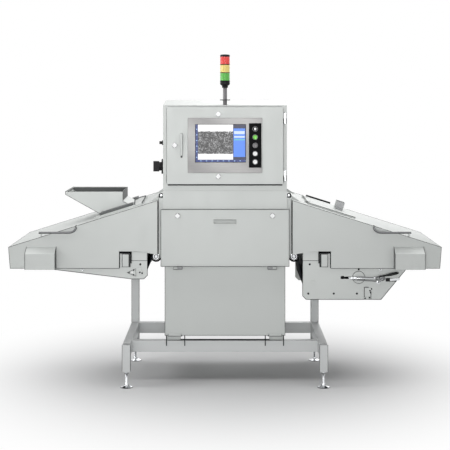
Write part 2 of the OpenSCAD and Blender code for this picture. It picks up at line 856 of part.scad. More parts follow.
module lid_knuckle(u1) {
    y = hatch_d / 4 + 4 * hatch_rim + run_gap;
    difference() {
        union() {
            translate([-u1 - 5 * hatch_rim, y + 7 * hatch_rim, hatch_rim_h]) rotate([90, 0, 0])
                cylinder(r = 2 * hatch_rim, h = 7 * hatch_rim);
            block([-u1 - 5 * hatch_rim, y, hatch_rim_h / 2 + sheet / 2],
                  [-u1 + 5 * hatch_rim, y + 7 * hatch_rim, hatch_rim_h / 2 + 2 * sheet]);
        }
        translate([-u1 - 5 * hatch_rim, y + 8 * hatch_rim, hatch_rim_h]) rotate([90, 0, 0])
            cylinder(r = hatch_rim + fit, h = 9 * hatch_rim);
    }
}

module infeed_hood() color("gainsboro") mirror([1, 0, 0])
    hood(hopper_foot_in + 2 * sheet, hopper_foot_out - 2 * sheet, hopper_d - 4 * sheet);

// Bent-rod pull along a hood's front side
module pulls() mirror([0, 1, 0]) {
    along_x(bar_y, bar_z, bar_r, bar_in, bar_out);
    for (x = [bar_in, bar_out]) translate([x, bar_y, bar_z]) sphere(r = bar_r);
    along_y(bar_in, bar_z, bar_r, hood_y + seat_gap, bar_y);
    along_y(bar_out, bar_z, bar_r, hood_y - 4 * bar_r, bar_y);
    bar_foot = hood_end_z + (hood_out - bar_out) * hood_slope_share + bar_r / 2;
    translate([bar_out, hood_y - 4 * bar_r, bar_foot]) cylinder(r = bar_r, h = bar_z - bar_foot);
}

module infeed_hood_pulls() color("silver") mirror([1, 0, 0]) pulls();
module outfeed_hood_pulls() color("silver") pulls();

// Offset funnel that drops product through the infeed hood, on a lid over the hood's hatch
module infeed_hopper() color("silver") {
    foot_z0 = hood_end_z + (hood_out - hopper_foot_out) * hood_slope_share;
    foot_z1 = hood_end_z + (hood_out - hopper_foot_in) * hood_slope_share;
    difference() {
        union() {
            prism([[-hopper_rim_out, hopper_top], [-hopper_rim_out, hopper_top - hopper_lip_out],
                   [-hopper_foot_out, foot_z0 + sheet],
                   [-hopper_foot_in, foot_z1 + sheet],
                   [-hopper_rim_in, hopper_top - hopper_lip_in],
                   [-hopper_rim_in, hopper_top]],
                  -hopper_d / 2, hopper_d / 2);
            mirror([1, 0, 0]) lid_tray();
        }
        prism([[-hopper_rim_out + sheet, hopper_top + over],
               [-hopper_rim_out + sheet, hopper_top - hopper_lip_out + sheet / 2],
               [-hopper_foot_out + 3 * sheet, foot_z0 - 2 * over],
               [-hopper_foot_in - 2 * sheet, foot_z1 - 2 * over],
               [-hopper_rim_in - sheet, hopper_top - hopper_lip_in - sheet],
               [-hopper_rim_in - sheet, hopper_top + over]],
              -hopper_d / 2 + sheet, hopper_d / 2 - sheet);
    }
}

// Side plates of the conveyor: shallow on the infeed side, deep on the outfeed side
module conveyor_plates() color("gainsboro") for (side = [-1, 1]) mirror([0, side > 0 ? 0 : 1, 0]) {
    difference() {
        prism([[plate_in, plate_top], [plate_in, deep_z + plate_corner], [plate_in + plate_corner, deep_z],
               [deep_out, deep_z], [toe_x, hood_base], [plate_out, hood_base], [plate_out, plate_top]],
              plate_y, plate_y + plate_t);
        arm_slot(leg_x, side > 0 ? deep_z : arm_base);
        for (r = [[end_roller_x, end_roller_z], tension, tail_out]) shaft_hole(r[0], r[1], shaft_r);
        block([slot_in, plate_y - over, slot_z - slot_r],
              [slot_out, plate_y + plate_t + over, slot_z + slot_r]);
        shaft_hole(lever_pivot[0], lever_pivot[1], lever_r);
    }
    difference() {
        prism([[-plate_in, plate_top], [-plate_in, shallow_z + plate_corner],
               [-plate_in - plate_corner, shallow_z],
               [-notch_in, shallow_z], [-toe_x, hood_base], [-plate_out, hood_base], [-plate_out, plate_top]],
              plate_y, plate_y + plate_t);
        arm_slot(-leg_x, side > 0 ? shallow_z : arm_base);
        shaft_hole(-end_roller_x, end_roller_z, shaft_r);
        shaft_hole(-tail_in[0], tail_in[1], shaft_r);
    }
}

module shaft_hole(x, z, r) along_y(x, z, r + fit, plate_y - over, plate_y + plate_t + over);

module arm_slot(x, z0)
    block([x - leg_side / 2 - seat_gap, plate_y - over, z0 - seat_gap],
          [x + leg_side / 2 + seat_gap, plate_y + plate_t + over, arm_top + seat_gap]);

// Flat bed under the upper strand of the belt, on bars between the side plates
module slider_bed() color("silver") {
    middle_block(2 * bed_half, bed_w, bed_top - bed_t, bed_top);
    both_x() for (x = cross_x)
        block([x - cross_w / 2, -plate_y, bed_top - bed_t - cross_h],
              [x + cross_w / 2, plate_y, bed_top - bed_t]);
}

// Signed distance of the belt's inner or outer face from a roller's centre
function reach(i, e) = route[i][3] > 0 ? route[i][2] + belt_gap + e : -(route[i][2] + belt_gap + belt_t - e);

// Direction from a roller's centre to the strand that leaves it
function leave(i, e) =
    let (j = (i + 1) % len(route), dx = route[j][0] - route[i][0], dz = route[j][1] - route[i][1],
         d = norm([dx, dz]), k = (reach(i, e) - reach(j, e)) / d, s = sqrt(1 - k * k))
    atan2((k * dz + s * dx) / d, (k * dx - s * dz) / d);

// Turn of the belt on a roller, clockwise as negative
function turn(a, side) = side > 0 ? -((-a % 360 + 360) % 360) : (a % 360 + 360) % 360;

function belt_points(e) = [
    for (i = [0:len(route) - 1])
        let (a0 = leave((i + len(route) - 1) % len(route), e), a1 = leave(i, e),
             t = turn(a1 - a0, route[i][3]))
        for (n = [0:arc_steps])
            let (a = a0 + t * n / arc_steps)
            [route[i][0] + reach(i, e) * cos(a), route[i][1] + reach(i, e) * sin(a)]
];

module belt() color("darkslategray") difference() {
    prism(belt_points(belt_t), -belt_w / 2, belt_w / 2);
    prism(belt_points(0), -belt_w / 2 - over, belt_w / 2 + over);
}

// Roller with its shaft, held in the side plates or in a collar's ears
module roller(x, z, r, reach_y) {
    along_y(x, z, r, -roller_l / 2, roller_l / 2);
    along_y(x, z, shaft_r, -reach_y, reach_y);
}

module infeed_roller() color("silver") roller(-end_roller_x, end_roller_z, end_roller_r, plate_y + plate_t);
module outfeed_roller() color("dimgray") roller(end_roller_x, end_roller_z, end_roller_r,
                                                plate_y + plate_t);
module tension_roller() color("silver") roller(tension[0], tension[1], tension[2], plate_y + plate_t);
module outfeed_lower_roller() color("silver") roller(tail_out[0], tail_out[1], tail_out[2],
                                                     plate_y + plate_t);
module infeed_lower_roller() color("silver") roller(-tail_in[0], tail_in[1], tail_in[2], plate_y + plate_t);
module outfeed_snub_roller() color("silver") roller(snub_x, snub_z, snub_r, tunnel_w / 2 + ear_t);
module infeed_snub_roller() color("silver") roller(-snub_x, snub_z, snub_r, tunnel_w / 2 + ear_t);

// Lever of the belt's quick release, on a pin in front of the deep plate
module release_lever() color("dimgray") {
    y0 = -lever_y - lever_gap - lever_w;
    along_y(lever_pivot[0], lever_pivot[1], 2 * lever_r, y0, y0 + lever_w);
    translate([lever_pivot[0], 0, lever_pivot[1]]) rotate([0, -lever_tilt, 0]) {
        block([-lever_arm, y0, -lever_r], [lever_l, y0 + lever_w, lever_r]);
        translate([lever_l, y0 + lever_w / 2, 0]) sphere(r = lever_r);
    }
    along_y(lever_pivot[0], lever_pivot[1], lever_r, y0 + lever_w, -lever_y - seat_gap);
}

// Rod that the lever pushes, with its guide pin in the plate's slot
module release_rod() color("silver") {
    y0 = -lever_y - lever_gap - lever_w;
    along_x(y0 + lever_w / 2, slot_z, lever_r * 0.8, slot_out - slot_r,
            lever_pivot[0] - lever_arm - lever_r / 4);
    along_y(slot_out - slot_r, slot_z, slot_r - run_gap, y0 - lever_r, -lever_y + plate_t + run_gap);
}

// Generator in the foot of the control cabinet, with its beam port through the housing's top
module xray_generator() color("slategray") {
    block([-gen_w / 2, -gen_d, tower_top + sheet], [gen_w / 2, 0, tower_top + sheet + gen_h]);
    translate([0, -port_y, tower_top - sheet - port_l]) cylinder(r = port_r, h = port_l + 3 * sheet);
}

// Line detector and its collimator between the two strands of the belt
module detector() color("slategray") {
    difference() {
        middle_block(det_w, bed_w, snub_z + snub_r + belt_t + 2 * belt_gap, bed_top - bed_t);
        middle_block(det_slit, belt_w, bed_top - 4 * bed_t, bed_top + over);
    }
}

base_beams();
base_rails();
rear_uprights();
front_legs();
cantilever_arms();
foot_stems();
foot_pads();
rail_hooks();
lower_cabinet();
lower_front_panel();
tunnel_housing();
tunnel_collars();
front_band();
service_door();
service_door_hinges();
service_lock_left();
service_lock_right();
control_cabinet();
cabinet_door();
door_pull();
door_lock_top();
door_lock_side();
door_lock_bottom();
screen_bezel();
screen();
button_panel();
button_1();
button_2();
button_3();
button_4();
button_5();
isolator_base();
isolator_knob();
key_switch();
light_mast();
light_base();
lens_green();
lens_amber();
lens_red();
light_cap();
infeed_hood();
outfeed_hood();
infeed_hood_pulls();
outfeed_hood_pulls();
infeed_hopper();
hatch_lid();
conveyor_plates();
slider_bed();
belt();
infeed_roller();
outfeed_roller();
tension_roller();
outfeed_lower_roller();
outfeed_snub_roller();
infeed_snub_roller();
infeed_lower_roller();
release_lever();
release_rod();
xray_generator();
detector();
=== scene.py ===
"""Looks of a food x-ray inspection machine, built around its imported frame.

Everything is in metres, in the frame's own axes: +X along the belt, -Y towards the operator, +Z up.
"""
from __future__ import annotations

import json
import logging
import math
from dataclasses import dataclass
from enum import Enum
from typing import Any, Iterable, Sequence

import bmesh
import bpy
from mathutils import Matrix, Vector

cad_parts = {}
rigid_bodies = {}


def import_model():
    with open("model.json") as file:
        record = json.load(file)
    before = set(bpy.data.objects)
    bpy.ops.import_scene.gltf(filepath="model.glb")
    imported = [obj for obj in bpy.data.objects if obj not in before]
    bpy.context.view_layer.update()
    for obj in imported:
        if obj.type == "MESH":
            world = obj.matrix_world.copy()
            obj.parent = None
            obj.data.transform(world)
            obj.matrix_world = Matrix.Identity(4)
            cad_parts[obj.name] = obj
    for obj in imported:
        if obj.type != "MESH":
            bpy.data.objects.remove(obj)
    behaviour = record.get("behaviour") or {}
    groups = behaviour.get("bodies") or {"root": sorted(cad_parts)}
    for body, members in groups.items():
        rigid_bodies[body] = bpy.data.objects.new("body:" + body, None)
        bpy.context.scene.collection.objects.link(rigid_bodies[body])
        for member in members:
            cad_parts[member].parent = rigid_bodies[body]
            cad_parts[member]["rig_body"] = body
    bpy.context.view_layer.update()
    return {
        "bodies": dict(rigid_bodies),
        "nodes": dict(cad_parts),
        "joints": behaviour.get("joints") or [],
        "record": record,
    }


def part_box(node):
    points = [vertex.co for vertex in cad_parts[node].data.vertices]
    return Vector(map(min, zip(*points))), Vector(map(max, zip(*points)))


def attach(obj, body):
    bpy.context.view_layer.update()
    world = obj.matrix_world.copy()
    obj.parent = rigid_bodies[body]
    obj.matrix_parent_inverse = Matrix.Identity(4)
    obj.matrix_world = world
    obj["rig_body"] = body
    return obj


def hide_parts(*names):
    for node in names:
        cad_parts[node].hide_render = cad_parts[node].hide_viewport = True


LOG = logging.getLogger("x_ray_inspector")
Point = Sequence[float]
Colour = tuple[float, float, float]

CURVED_FROM = math.radians(0.3)
CURVED_TO = math.radians(25)
SHARP_FROM = math.radians(35)
MERGE_GAP = 1e-6
FULL_TURN = 2 * math.pi
# Faces across a rounded edge and a rounded corner, and steps along a bend.
EDGE_STEPS = 2
CORNER_STEPS = 5
BEND_STEPS = 6
CORNER_REACH = 0.0004
WHITE = (1.0, 1.0, 1.0)
ALONG = (1, 0, 0)
ACROSS = (0, 1, 0)
FRONT = (0, -1, 0)
UP = (0, 0, 1)
# Signs of Y at the front and the back.
FACES = (-1, 1)
# Y of the front face of the conveyor's plates.
PLATE_FRONT = -0.368


def srgb(red: int, green: int, blue: int) -> Colour:
    """Linear colour of a display colour.

    Args:
        red: Red, from 0 to 255.
        green: Green, from 0 to 255.
        blue: Blue, from 0 to 255.

    Returns:
        The linear red, green and blue that the shader takes.
    """
    def linear(level: int) -> float:
        """Linear value of one display level."""
        share = level / 255
        return share / 12.92 if share <= 0.04045 else ((share + 0.055) / 1.055) ** 2.4

    return linear(red), linear(green), linear(blue)


class Value:
    """A shader socket that joins in Python sums, each of which adds its own node."""

    def __init__(self, nodes: Nodes, socket: bpy.types.NodeSocket) -> None:
        """Keeps the socket and the nodes that it belongs to."""
        self.nodes = nodes
        self.socket = socket

    def __add__(self, other: Term) -> Value:
        """Sum of two terms."""
        return self.nodes.sum("ADD", self, other)

    def __radd__(self, other: Term) -> Value:
        """Sum of two terms."""
        return self.nodes.sum("ADD", other, self)

    def __sub__(self, other: Term) -> Value:
        """Difference of two terms."""
        return self.nodes.sum("SUBTRACT", self, other)

    def __mul__(self, other: Term) -> Value:
        """Product of two terms."""
        return self.nodes.sum("MULTIPLY", self, other)

    def __truediv__(self, other: Term) -> Value:
        """Quotient of two terms."""
        return self.nodes.sum("DIVIDE", self, other)

    def __gt__(self, other: Term) -> Value:
        """One where the first term is the larger, else zero."""
        return self.nodes.sum("GREATER_THAN", self, other)

    def __lt__(self, other: Term) -> Value:
        """One where the first term is the smaller, else zero."""
        return self.nodes.sum("LESS_THAN", self, other)

    def wave(self) -> Value:
        """Sine of the term."""
        return self.nodes.sum("SINE", self)

    def rest(self) -> Value:
        """What is left of the term above its whole number."""
        return self.nodes.sum("FRACT", self)

    def size(self) -> Value:
        """The term without its sign."""
        return self.nodes.sum("ABSOLUTE", self)


Term = Value | float


class Nodes:
    """Node tree of a material or a world."""

    def __init__(self, owner: bpy.types.Material | bpy.types.World) -> None:
        """Turns on the owner's nodes and clears them."""
        owner.use_nodes = True
        self.tree = owner.node_tree
        self.tree.nodes.clear()

    def node(
        self, kind: str, settings: dict[str, Any] | None = None, inputs: dict[str | int, Any] | None = None
    ) -> bpy.types.Node:
        """Adds a node, sets it up, and then fills its sockets.

        Args:
            kind: The node's type without its ShaderNode prefix.
            settings: Attributes of the node.
            inputs: Values or terms, by a socket's name or number.

        Returns:
            The new node.
        """
        made = self.tree.nodes.new("ShaderNode" + kind)
        for name, setting in (settings or {}).items():
            setattr(made, name, setting)
        for key, given in (inputs or {}).items():
            self.fill(made.inputs[key], given)
        return made

    def fill(self, socket: bpy.types.NodeSocket, given: Any) -> None:
        """Links a socket to a term or sets its value, with the alpha that a colour socket wants."""
        if isinstance(given, Value):
            self.tree.links.new(given.socket, socket)
        else:
            socket.default_value = (*given, 1.0) if socket.type == "RGBA" else given

    def sum(self, operation: str, *terms: Term) -> Value:
        """Adds a Math node for one operation on its terms."""
        made = self.node("Math", {"operation": operation}, dict(enumerate(terms)))
        return Value(self, made.outputs[0])

    def place(self) -> Value:
        """Place on the piece, in the frame's own axes."""
        return Value(self, self.node("TexCoord").outputs["Object"])

    def rays(self, *kinds: str) -> list[Value]:
        """One for a ray of each kind, such as Camera, and zero for any other ray."""
        path = self.node("LightPath")
        return [Value(self, path.outputs[f"Is {kind} Ray"]) for kind in kinds]

    def close(self, mask: Value, low: bpy.types.Node, high: bpy.types.Node, output: str) -> None:
        """Mixes two shaders by a mask, from low to high, into the tree's output."""
        low_socket, high_socket = (Value(self, made.outputs[0]) for made in (low, high))
        mix = self.node("MixShader", None, {0: mask, 1: low_socket, 2: high_socket})
        self.node(output, None, {"Surface": Value(self, mix.outputs[0])})


class Shader(Nodes):
    """Node tree of one material, around one Principled BSDF."""

    def __init__(self, name: str) -> None:
        """Makes the material of that name, with only its surface shader and output."""
        self.material = bpy.data.materials.new(name)
        super().__init__(self.material)
        self.surface = self.node("BsdfPrincipled")
        self.node("OutputMaterial", None, {"Surface": Value(self, self.surface.outputs["BSDF"])})

    def axes(self) -> tuple[Value, Value, Value]:
        """The place's X, Y and Z as separate terms."""
        made = self.node("SeparateXYZ", None, {0: self.place()})
        return tuple(Value(self, made.outputs[i]) for i in range(3))

    def noise(self, grain: Point, detail: float = 2.0, rough: float = 0.5) -> Value:
        """Noise between about 0 and 1.

        Args:
            grain: Size of the pattern along X, Y and Z, in metres.
            detail: Number of finer layers.
            rough: Strength of the finer layers.

        Returns:
            The noise's value.
        """
        scale = tuple(1 / g for g in grain)
        scaled = self.node("Mapping", None, {"Vector": self.place(), "Scale": scale})
        layers = {"Scale": 1.0, "Detail": detail, "Roughness": rough}
        made = self.node("TexNoise", None, {"Vector": Value(self, scaled.outputs[0]), **layers})
        return Value(self, made.outputs["Fac"])

    def blend(self, mask: Term, low: Value | Colour, high: Value | Colour) -> Value:
        """Colour that goes from low to high with a mask."""
        made = self.node("Mix", {"data_type": "RGBA"}, {0: mask, 6: low, 7: high})
        return Value(self, made.outputs[2])

    def set(self, **sockets: Any) -> None:
        """Fills sockets of the surface shader, with _ for a space in their names."""
        for name, given in sockets.items():
            self.fill(self.surface.inputs[name.replace("_", " ")], given)

    def bump(self, height: Value, depth: float) -> None:
        """Roughens the surface with a height that depth turns into metres."""
        made = self.node("Bump", None, {"Distance": depth, "Height": height})
        self.set(Normal=Value(self, made.outputs["Normal"]))


def tone(colour: Colour, share: float) -> Colour:
    """The colour made lighter or darker by a share."""
    return tuple(min(1.0, level * share) for level in colour)


@dataclass(frozen=True)
class Steel:
    """Stainless steel: blasted, brushed or polished."""

    colour: Colour
    roughness: float
    metallic: float
    grain: tuple[float, float, float] = (0.0011, 0.0011, 0.0011)
    grain_depth: float = 0.00004
    mottle: float = 0.05
    cloud: tuple[float, float, float] = (0.35, 0.35, 0.22)

    def material(self, name: str) -> bpy.types.Material:
        """Makes the material.

        Args:
            name: Name of the material.

        Returns:
            Steel with fine grain, soft clouds and faint handling marks.
        """
        shader = Shader(name)
        grain = shader.noise(self.grain, 3.0, 0.6)
        cloud = shader.noise(self.cloud, 3.0, 0.55)
        smear = shader.noise((0.05, 0.05, 0.16), 2.0, 0.5)
        mask = cloud * 0.6 + grain * 0.25 + smear * 0.15
        dark, light = (tone(self.colour, 1 + share) for share in (-self.mottle, self.mottle))
        shader.set(
            Base_Color=shader.blend(mask, dark, light),
            Roughness=self.roughness - 0.09 + smear * 0.12 + grain * 0.06,
            Metallic=self.metallic,
            Specular_IOR_Level=0.4,
        )
        shader.bump(grain, self.grain_depth)
        return shader.material


@dataclass(frozen=True)
class Brushed:
    """Brushed stainless trim, with a painted sheen: light and dark bands that sweep slowly across it."""

    dark: Colour
    light: Colour
    roughness: float = 0.34
    metallic: float = 0.5
    brush: tuple[float, float, float] = (0.05, 0.004, 0.0007)
    sweep: float = 0.42

    def material(self, name: str) -> bpy.types.Material:
        """Makes the material, named as asked."""
        shader = Shader(name)
        x, _, z = shader.axes()
        lines = shader.noise(self.brush, 3.0, 0.6)
        cloud = shader.noise((0.12, 0.12, 0.09), 2.0, 0.5)
        # Painted sheen: light and dark bands across the trim that stand in for its reflection.
        painted_sheen = ((x * 0.9 + z * 1.3) * (FULL_TURN / self.sweep)).wave() * 0.3 + 0.5
        shader.set(
            Base_Color=shader.blend(painted_sheen * 0.6 + cloud * 0.3 + (lines - 0.4) * 0.5, self.dark, self.light),
            Roughness=self.roughness - 0.06 + lines * 0.12,
            Metallic=self.metallic,
        )
        shader.bump(lines, 0.00003)
        return shader.material


@dataclass(frozen=True)
class Plastic:
    """Moulded plastic or paint, with an orange-peel surface and rubbed patches."""

    colour: Colour
    roughness: float = 0.4
    peel: float = 0.0016
    peel_depth: float = 0.00004
    # Emission strength; on parts that are no lamps, such as the white lock drivers and stud, it is painted
    # light.
    glow: float = 0.0
    shine: float = 0.5

    def material(self, name: str) -> bpy.types.Material:
        """Makes the material, named as asked."""
        shader = Shader(name)
        peel = shader.noise((self.peel,) * 3, 2.0, 0.5)
        rubbed = shader.noise((0.03, 0.03, 0.03), 3.0, 0.6)
        shader.set(
            Base_Color=shader.blend(rubbed, tone(self.colour, 0.9), tone(self.colour, 1.1)),
            Roughness=self.roughness - 0.05 + rubbed * 0.12,
            Specular_IOR_Level=self.shine,
            Emission_Color=self.colour,
            Emission_Strength=self.glow,
        )
        shader.bump(peel, self.peel_depth)
        return shader.material


@dataclass(frozen=True)
class Rubber:
    """Woven belt or seal rubber, dusty along its weave."""

    colour: Colour
    weave: float = 0.0022
    weave_depth: float = 0.0002
    roughness: float = 0.75
    shine: float = 0.08

    def material(self, name: str) -> bpy.types.Material:
        """Makes the material, named as asked."""
        shader = Shader(name)
        x, y, z = shader.axes()
        turns = FULL_TURN / self.weave
        cross = ((x + z) * turns).wave() * (y * turns).wave()
        dust = shader.noise((0.02, 0.05, 0.02), 4.0, 0.6)
        shader.set(
            Base_Color=shader.blend(dust, tone(self.colour, 0.75), tone(self.colour, 1.3)),
            Roughness=self.roughness - 0.06 + dust * 0.14,
            Specular_IOR_Level=self.shine,
        )
        shader.bump(cross * 0.5 + 0.5 + dust * 0.3, self.weave_depth)
        return shader.material


@dataclass(frozen=True)
class Lens:
    """Coloured clear plastic of a signal light, with a lit core."""

    colour: Colour
    deep: Colour
    glow: float = 0.25
    flute_rate: float = 1400.0

    def material(self, name: str) -> bpy.types.Material:
        """Makes the material, named as asked."""
        shader = Shader(name)
        flutes = (shader.axes()[0] * self.flute_rate).wave() * 0.5 + 0.5
        shader.set(
            Base_Color=shader.blend(flutes * 0.35, self.colour, self.deep),
            Roughness=0.22 + flutes * 0.08,
            Coat_Weight=0.6,
            Emission_Color=self.colour,
            Emission_Strength=self.glow,
            Specular_IOR_Level=0.5,
        )
        shader.bump(flutes, 0.00015)
        return shader.material


@dataclass(frozen=True)
class Patch:
    """Rectangle on the screen, in metres from the screen's middle."""

    left: float
    right: float
    low: float
    high: float

    def mask(self, across: Value, up: Value) -> Value:
        """One inside the patch and zero outside it."""
        return (across > self.left) * (across < self.right) * (up > self.low) * (up < self.high)


@dataclass(frozen=True)
class ScreenPicture:
    """Lit touch screen: a scan of packed food between plain tool strips."""

    middle: tuple[float, float]
    half_width: float = 0.152
    half_height: float = 0.114
    navy: Colour = srgb(8, 42, 116)
    deep_blue: Colour = srgb(4, 16, 66)
    side_blue: Colour = srgb(74, 134, 240)
    row_pale: Colour = srgb(206, 224, 250)
    row_teal: Colour = srgb(96, 190, 200)
    paper: Colour = srgb(252, 252, 252)
    ink: Colour = srgb(16, 16, 18)
    speck: Colour = srgb(196, 196, 198)
    mark: Colour = srgb(150, 184, 232)
    left_strip: float = 0.015
    right_strip: float = 0.076
    foot_strip: float = 0.015
    pack_middle: float = 0.004
    pack_half: float = 0.068
    icon_pitch: float = 0.034
    brightness: float = 0.92

    def material(self, name: str) -> bpy.types.Material:
        """Makes the material, named as asked."""
        shader = Shader(name)
        x, _, z = shader.axes()
        across = x - self.middle[0]
        up = z - self.middle[1]
        field_left = self.left_strip - self.half_width
        field_right = self.half_width - self.right_strip
        field_low = self.foot_strip - self.half_height
        field_patch = Patch(field_left, field_right, field_low, self.half_height)
        grain = shader.noise((0.0062, 0.0062, 0.0062), 4.0, 0.8)
        lump = shader.noise((0.016, 0.016, 0.016), 3.0, 0.6)
        edge = self.pack_half - 0.006 + shader.noise((0.012, 0.012, 0.012), 3.0, 0.6) * 0.012
        pack = (up - self.pack_middle).size() < edge
        contents = shader.blend((grain - 0.50) * 6.0 + (lump - 0.5) * 2.0, self.ink, self.speck)
        paper = shader.blend(pack, self.paper, contents)
        panel_left, panel_right = field_right + 0.006, self.half_width - 0.006
        pale = Patch(panel_left, panel_right, 0.056, 0.074).mask(across, up)
        pale = pale + Patch(panel_left, panel_right, 0.034, 0.044).mask(across, up)
        teal = Patch(panel_left, panel_right, 0.018, 0.026).mask(across, up)
        side = shader.blend(teal, shader.blend(pale, self.side_blue, self.row_pale), self.row_teal)
        icon_up = ((up / self.icon_pitch).rest() - 0.5).size() < 0.08
        icon_across = (across + self.half_width - self.left_strip / 2).size() < 0.004
        foot_icon = (((across / self.icon_pitch).rest() - 0.5).size() < 0.1) * (
            (up + self.half_height - self.foot_strip / 2).size() < 0.003
        )
        icons = icon_up * icon_across + foot_icon * (across > field_left)
        picture = shader.blend(icons, self.navy, self.mark)
        header = Patch(field_right, self.half_width, 0.090, self.half_height).mask(across, up)
        footer = Patch(field_right, self.half_width, field_low, field_low + 0.016).mask(across, up)
        picture = shader.blend(header + footer, picture, self.deep_blue)
        side_patch = Patch(panel_left - 0.003, panel_right + 0.003, field_low + 0.016, 0.090)
        picture = shader.blend(side_patch.mask(across, up), picture, side)
        picture = shader.blend(field_patch.mask(across, up), picture, paper)
        shader.set(
            Base_Color=shader.blend(0.9, picture, (0.0, 0.0, 0.0)),
            Emission_Color=picture,
            Emission_Strength=self.brightness,
            Roughness=0.16 + lump * 0.04,
            Specular_IOR_Level=0.25,
        )
        return shader.material


class Look(Enum):
    """Finishes of the machine; each value is the record's slot and, after a stroke, a shade of it."""

    FRAME = "frame_steel"
    BLASTED = "blasted_steel"
    CABINET = "blasted_steel/cabinet"
    # Dark copy of the blasted steel, used as painted shade.
    SHADED = "blasted_steel/shaded"
    PLATE = "blasted_steel/plate"
    TRIM = "brushed_trim"
    BEZEL = "brushed_trim/bezel"
    POLISHED = "polished_steel"
    BLACK = "black_plastic"
    KEYPAD = "black_plastic/keypad"
    SEAL = "drive_rubber"
    BELT = "belt_rubber"
    GREEN_LENS = "green_lens"
    AMBER_LENS = "amber_lens"
    RED_LENS = "red_lens"
    SCREEN = "screen_glass"
    WHITE = "white_plastic"
    GREEN = "green_plastic"
    PULL = "polished_steel/pull"
    GREY = "grey_plastic"
    # Dark grey for real seams and joints, and also for painted shade.
    SEAM = "drive_rubber/seam"
    PALE_LINE = "grey_plastic/line"
    TANK = "painted_tank"

    @property
    def slot(self) -> str:
        """The record's material slot."""
        return self.value.split("/")[0]


class Palette:
    """Materials of the machine, each made when it is first asked for."""

    def __init__(self, screen_middle: tuple[float, float]) -> None:
        """Names the finish of each look.

        Args:
            screen_middle: X and Z of the screen's middle.
        """
        self.made: dict[Look, bpy.types.Material] = {}
        self.finishes = {
            Look.FRAME: Steel(srgb(193, 195, 195), 0.42, 0.4, mottle=0.04),
            Look.BLASTED: Steel(srgb(187, 190, 188), 0.46, 0.3, mottle=0.04),
            Look.CABINET: Steel(srgb(187, 190, 188), 0.46, 0.3, mottle=0.035),
            # Painted shade: dark steel for faces that lie in shade.
            Look.SHADED: Steel(srgb(92, 94, 94), 0.55, 0.2),
            Look.PLATE: Steel(srgb(187, 190, 188), 0.42, 0.35, mottle=0.04),
            Look.TRIM: Brushed(srgb(120, 121, 122), srgb(188, 189, 190)),
            Look.BEZEL: Brushed(
                srgb(102, 101, 101), srgb(176, 175, 174), metallic=0.2, brush=(0.08, 0.004, 0.0009)
            ),
            Look.PULL: Steel(srgb(104, 105, 106), 0.3, 0.8, (0.0006, 0.0006, 0.0006), 0.00001, 0.04),
            Look.POLISHED: Steel(srgb(214, 216, 218), 0.16, 0.95, (0.0006, 0.0006, 0.0006), 0.00001, 0.04),
            Look.BLACK: Plastic(srgb(14, 14, 16), 0.45, shine=0.2),
            Look.KEYPAD: Plastic(srgb(4, 5, 7), 0.4, shine=0.05),
            Look.SEAL: Rubber(srgb(18, 18, 20), 0.003, 0.00008, 0.6),
            Look.BELT: Rubber(srgb(26, 30, 38)),
            Look.GREEN_LENS: Lens(srgb(84, 176, 62), srgb(28, 110, 34)),
            Look.AMBER_LENS: Lens(srgb(226, 206, 120), srgb(188, 142, 44)),
            Look.RED_LENS: Lens(srgb(224, 52, 44), srgb(142, 14, 16)),
            Look.SCREEN: ScreenPicture(screen_middle),
            # This glow is painted light: the white parts, such as the lock drivers and the bracket stud, are
            # no lamps.
            Look.WHITE: Plastic(srgb(244, 245, 245), 0.3, glow=0.12),
            Look.GREEN: Plastic(srgb(118, 214, 74), 0.3, glow=0.15),
            # Dark grey for seams and joints, and for painted shade along edges and under parts.
            Look.SEAM: Plastic(srgb(58, 60, 60), 0.6, shine=0.15),
            Look.GREY: Plastic(srgb(124, 122, 124), 0.35),
            Look.PALE_LINE: Plastic(srgb(150, 196, 240), 0.4, glow=0.5),
            Look.TANK: Plastic(srgb(96, 104, 112), 0.45, 0.003, 0.0001),
        }

    def __getitem__(self, look: Look) -> bpy.types.Material:
        """The look's material."""
        if look not in self.made:
            self.made[look] = self.finishes[look].material(look.value.replace("/", "_"))
        return self.made[look]


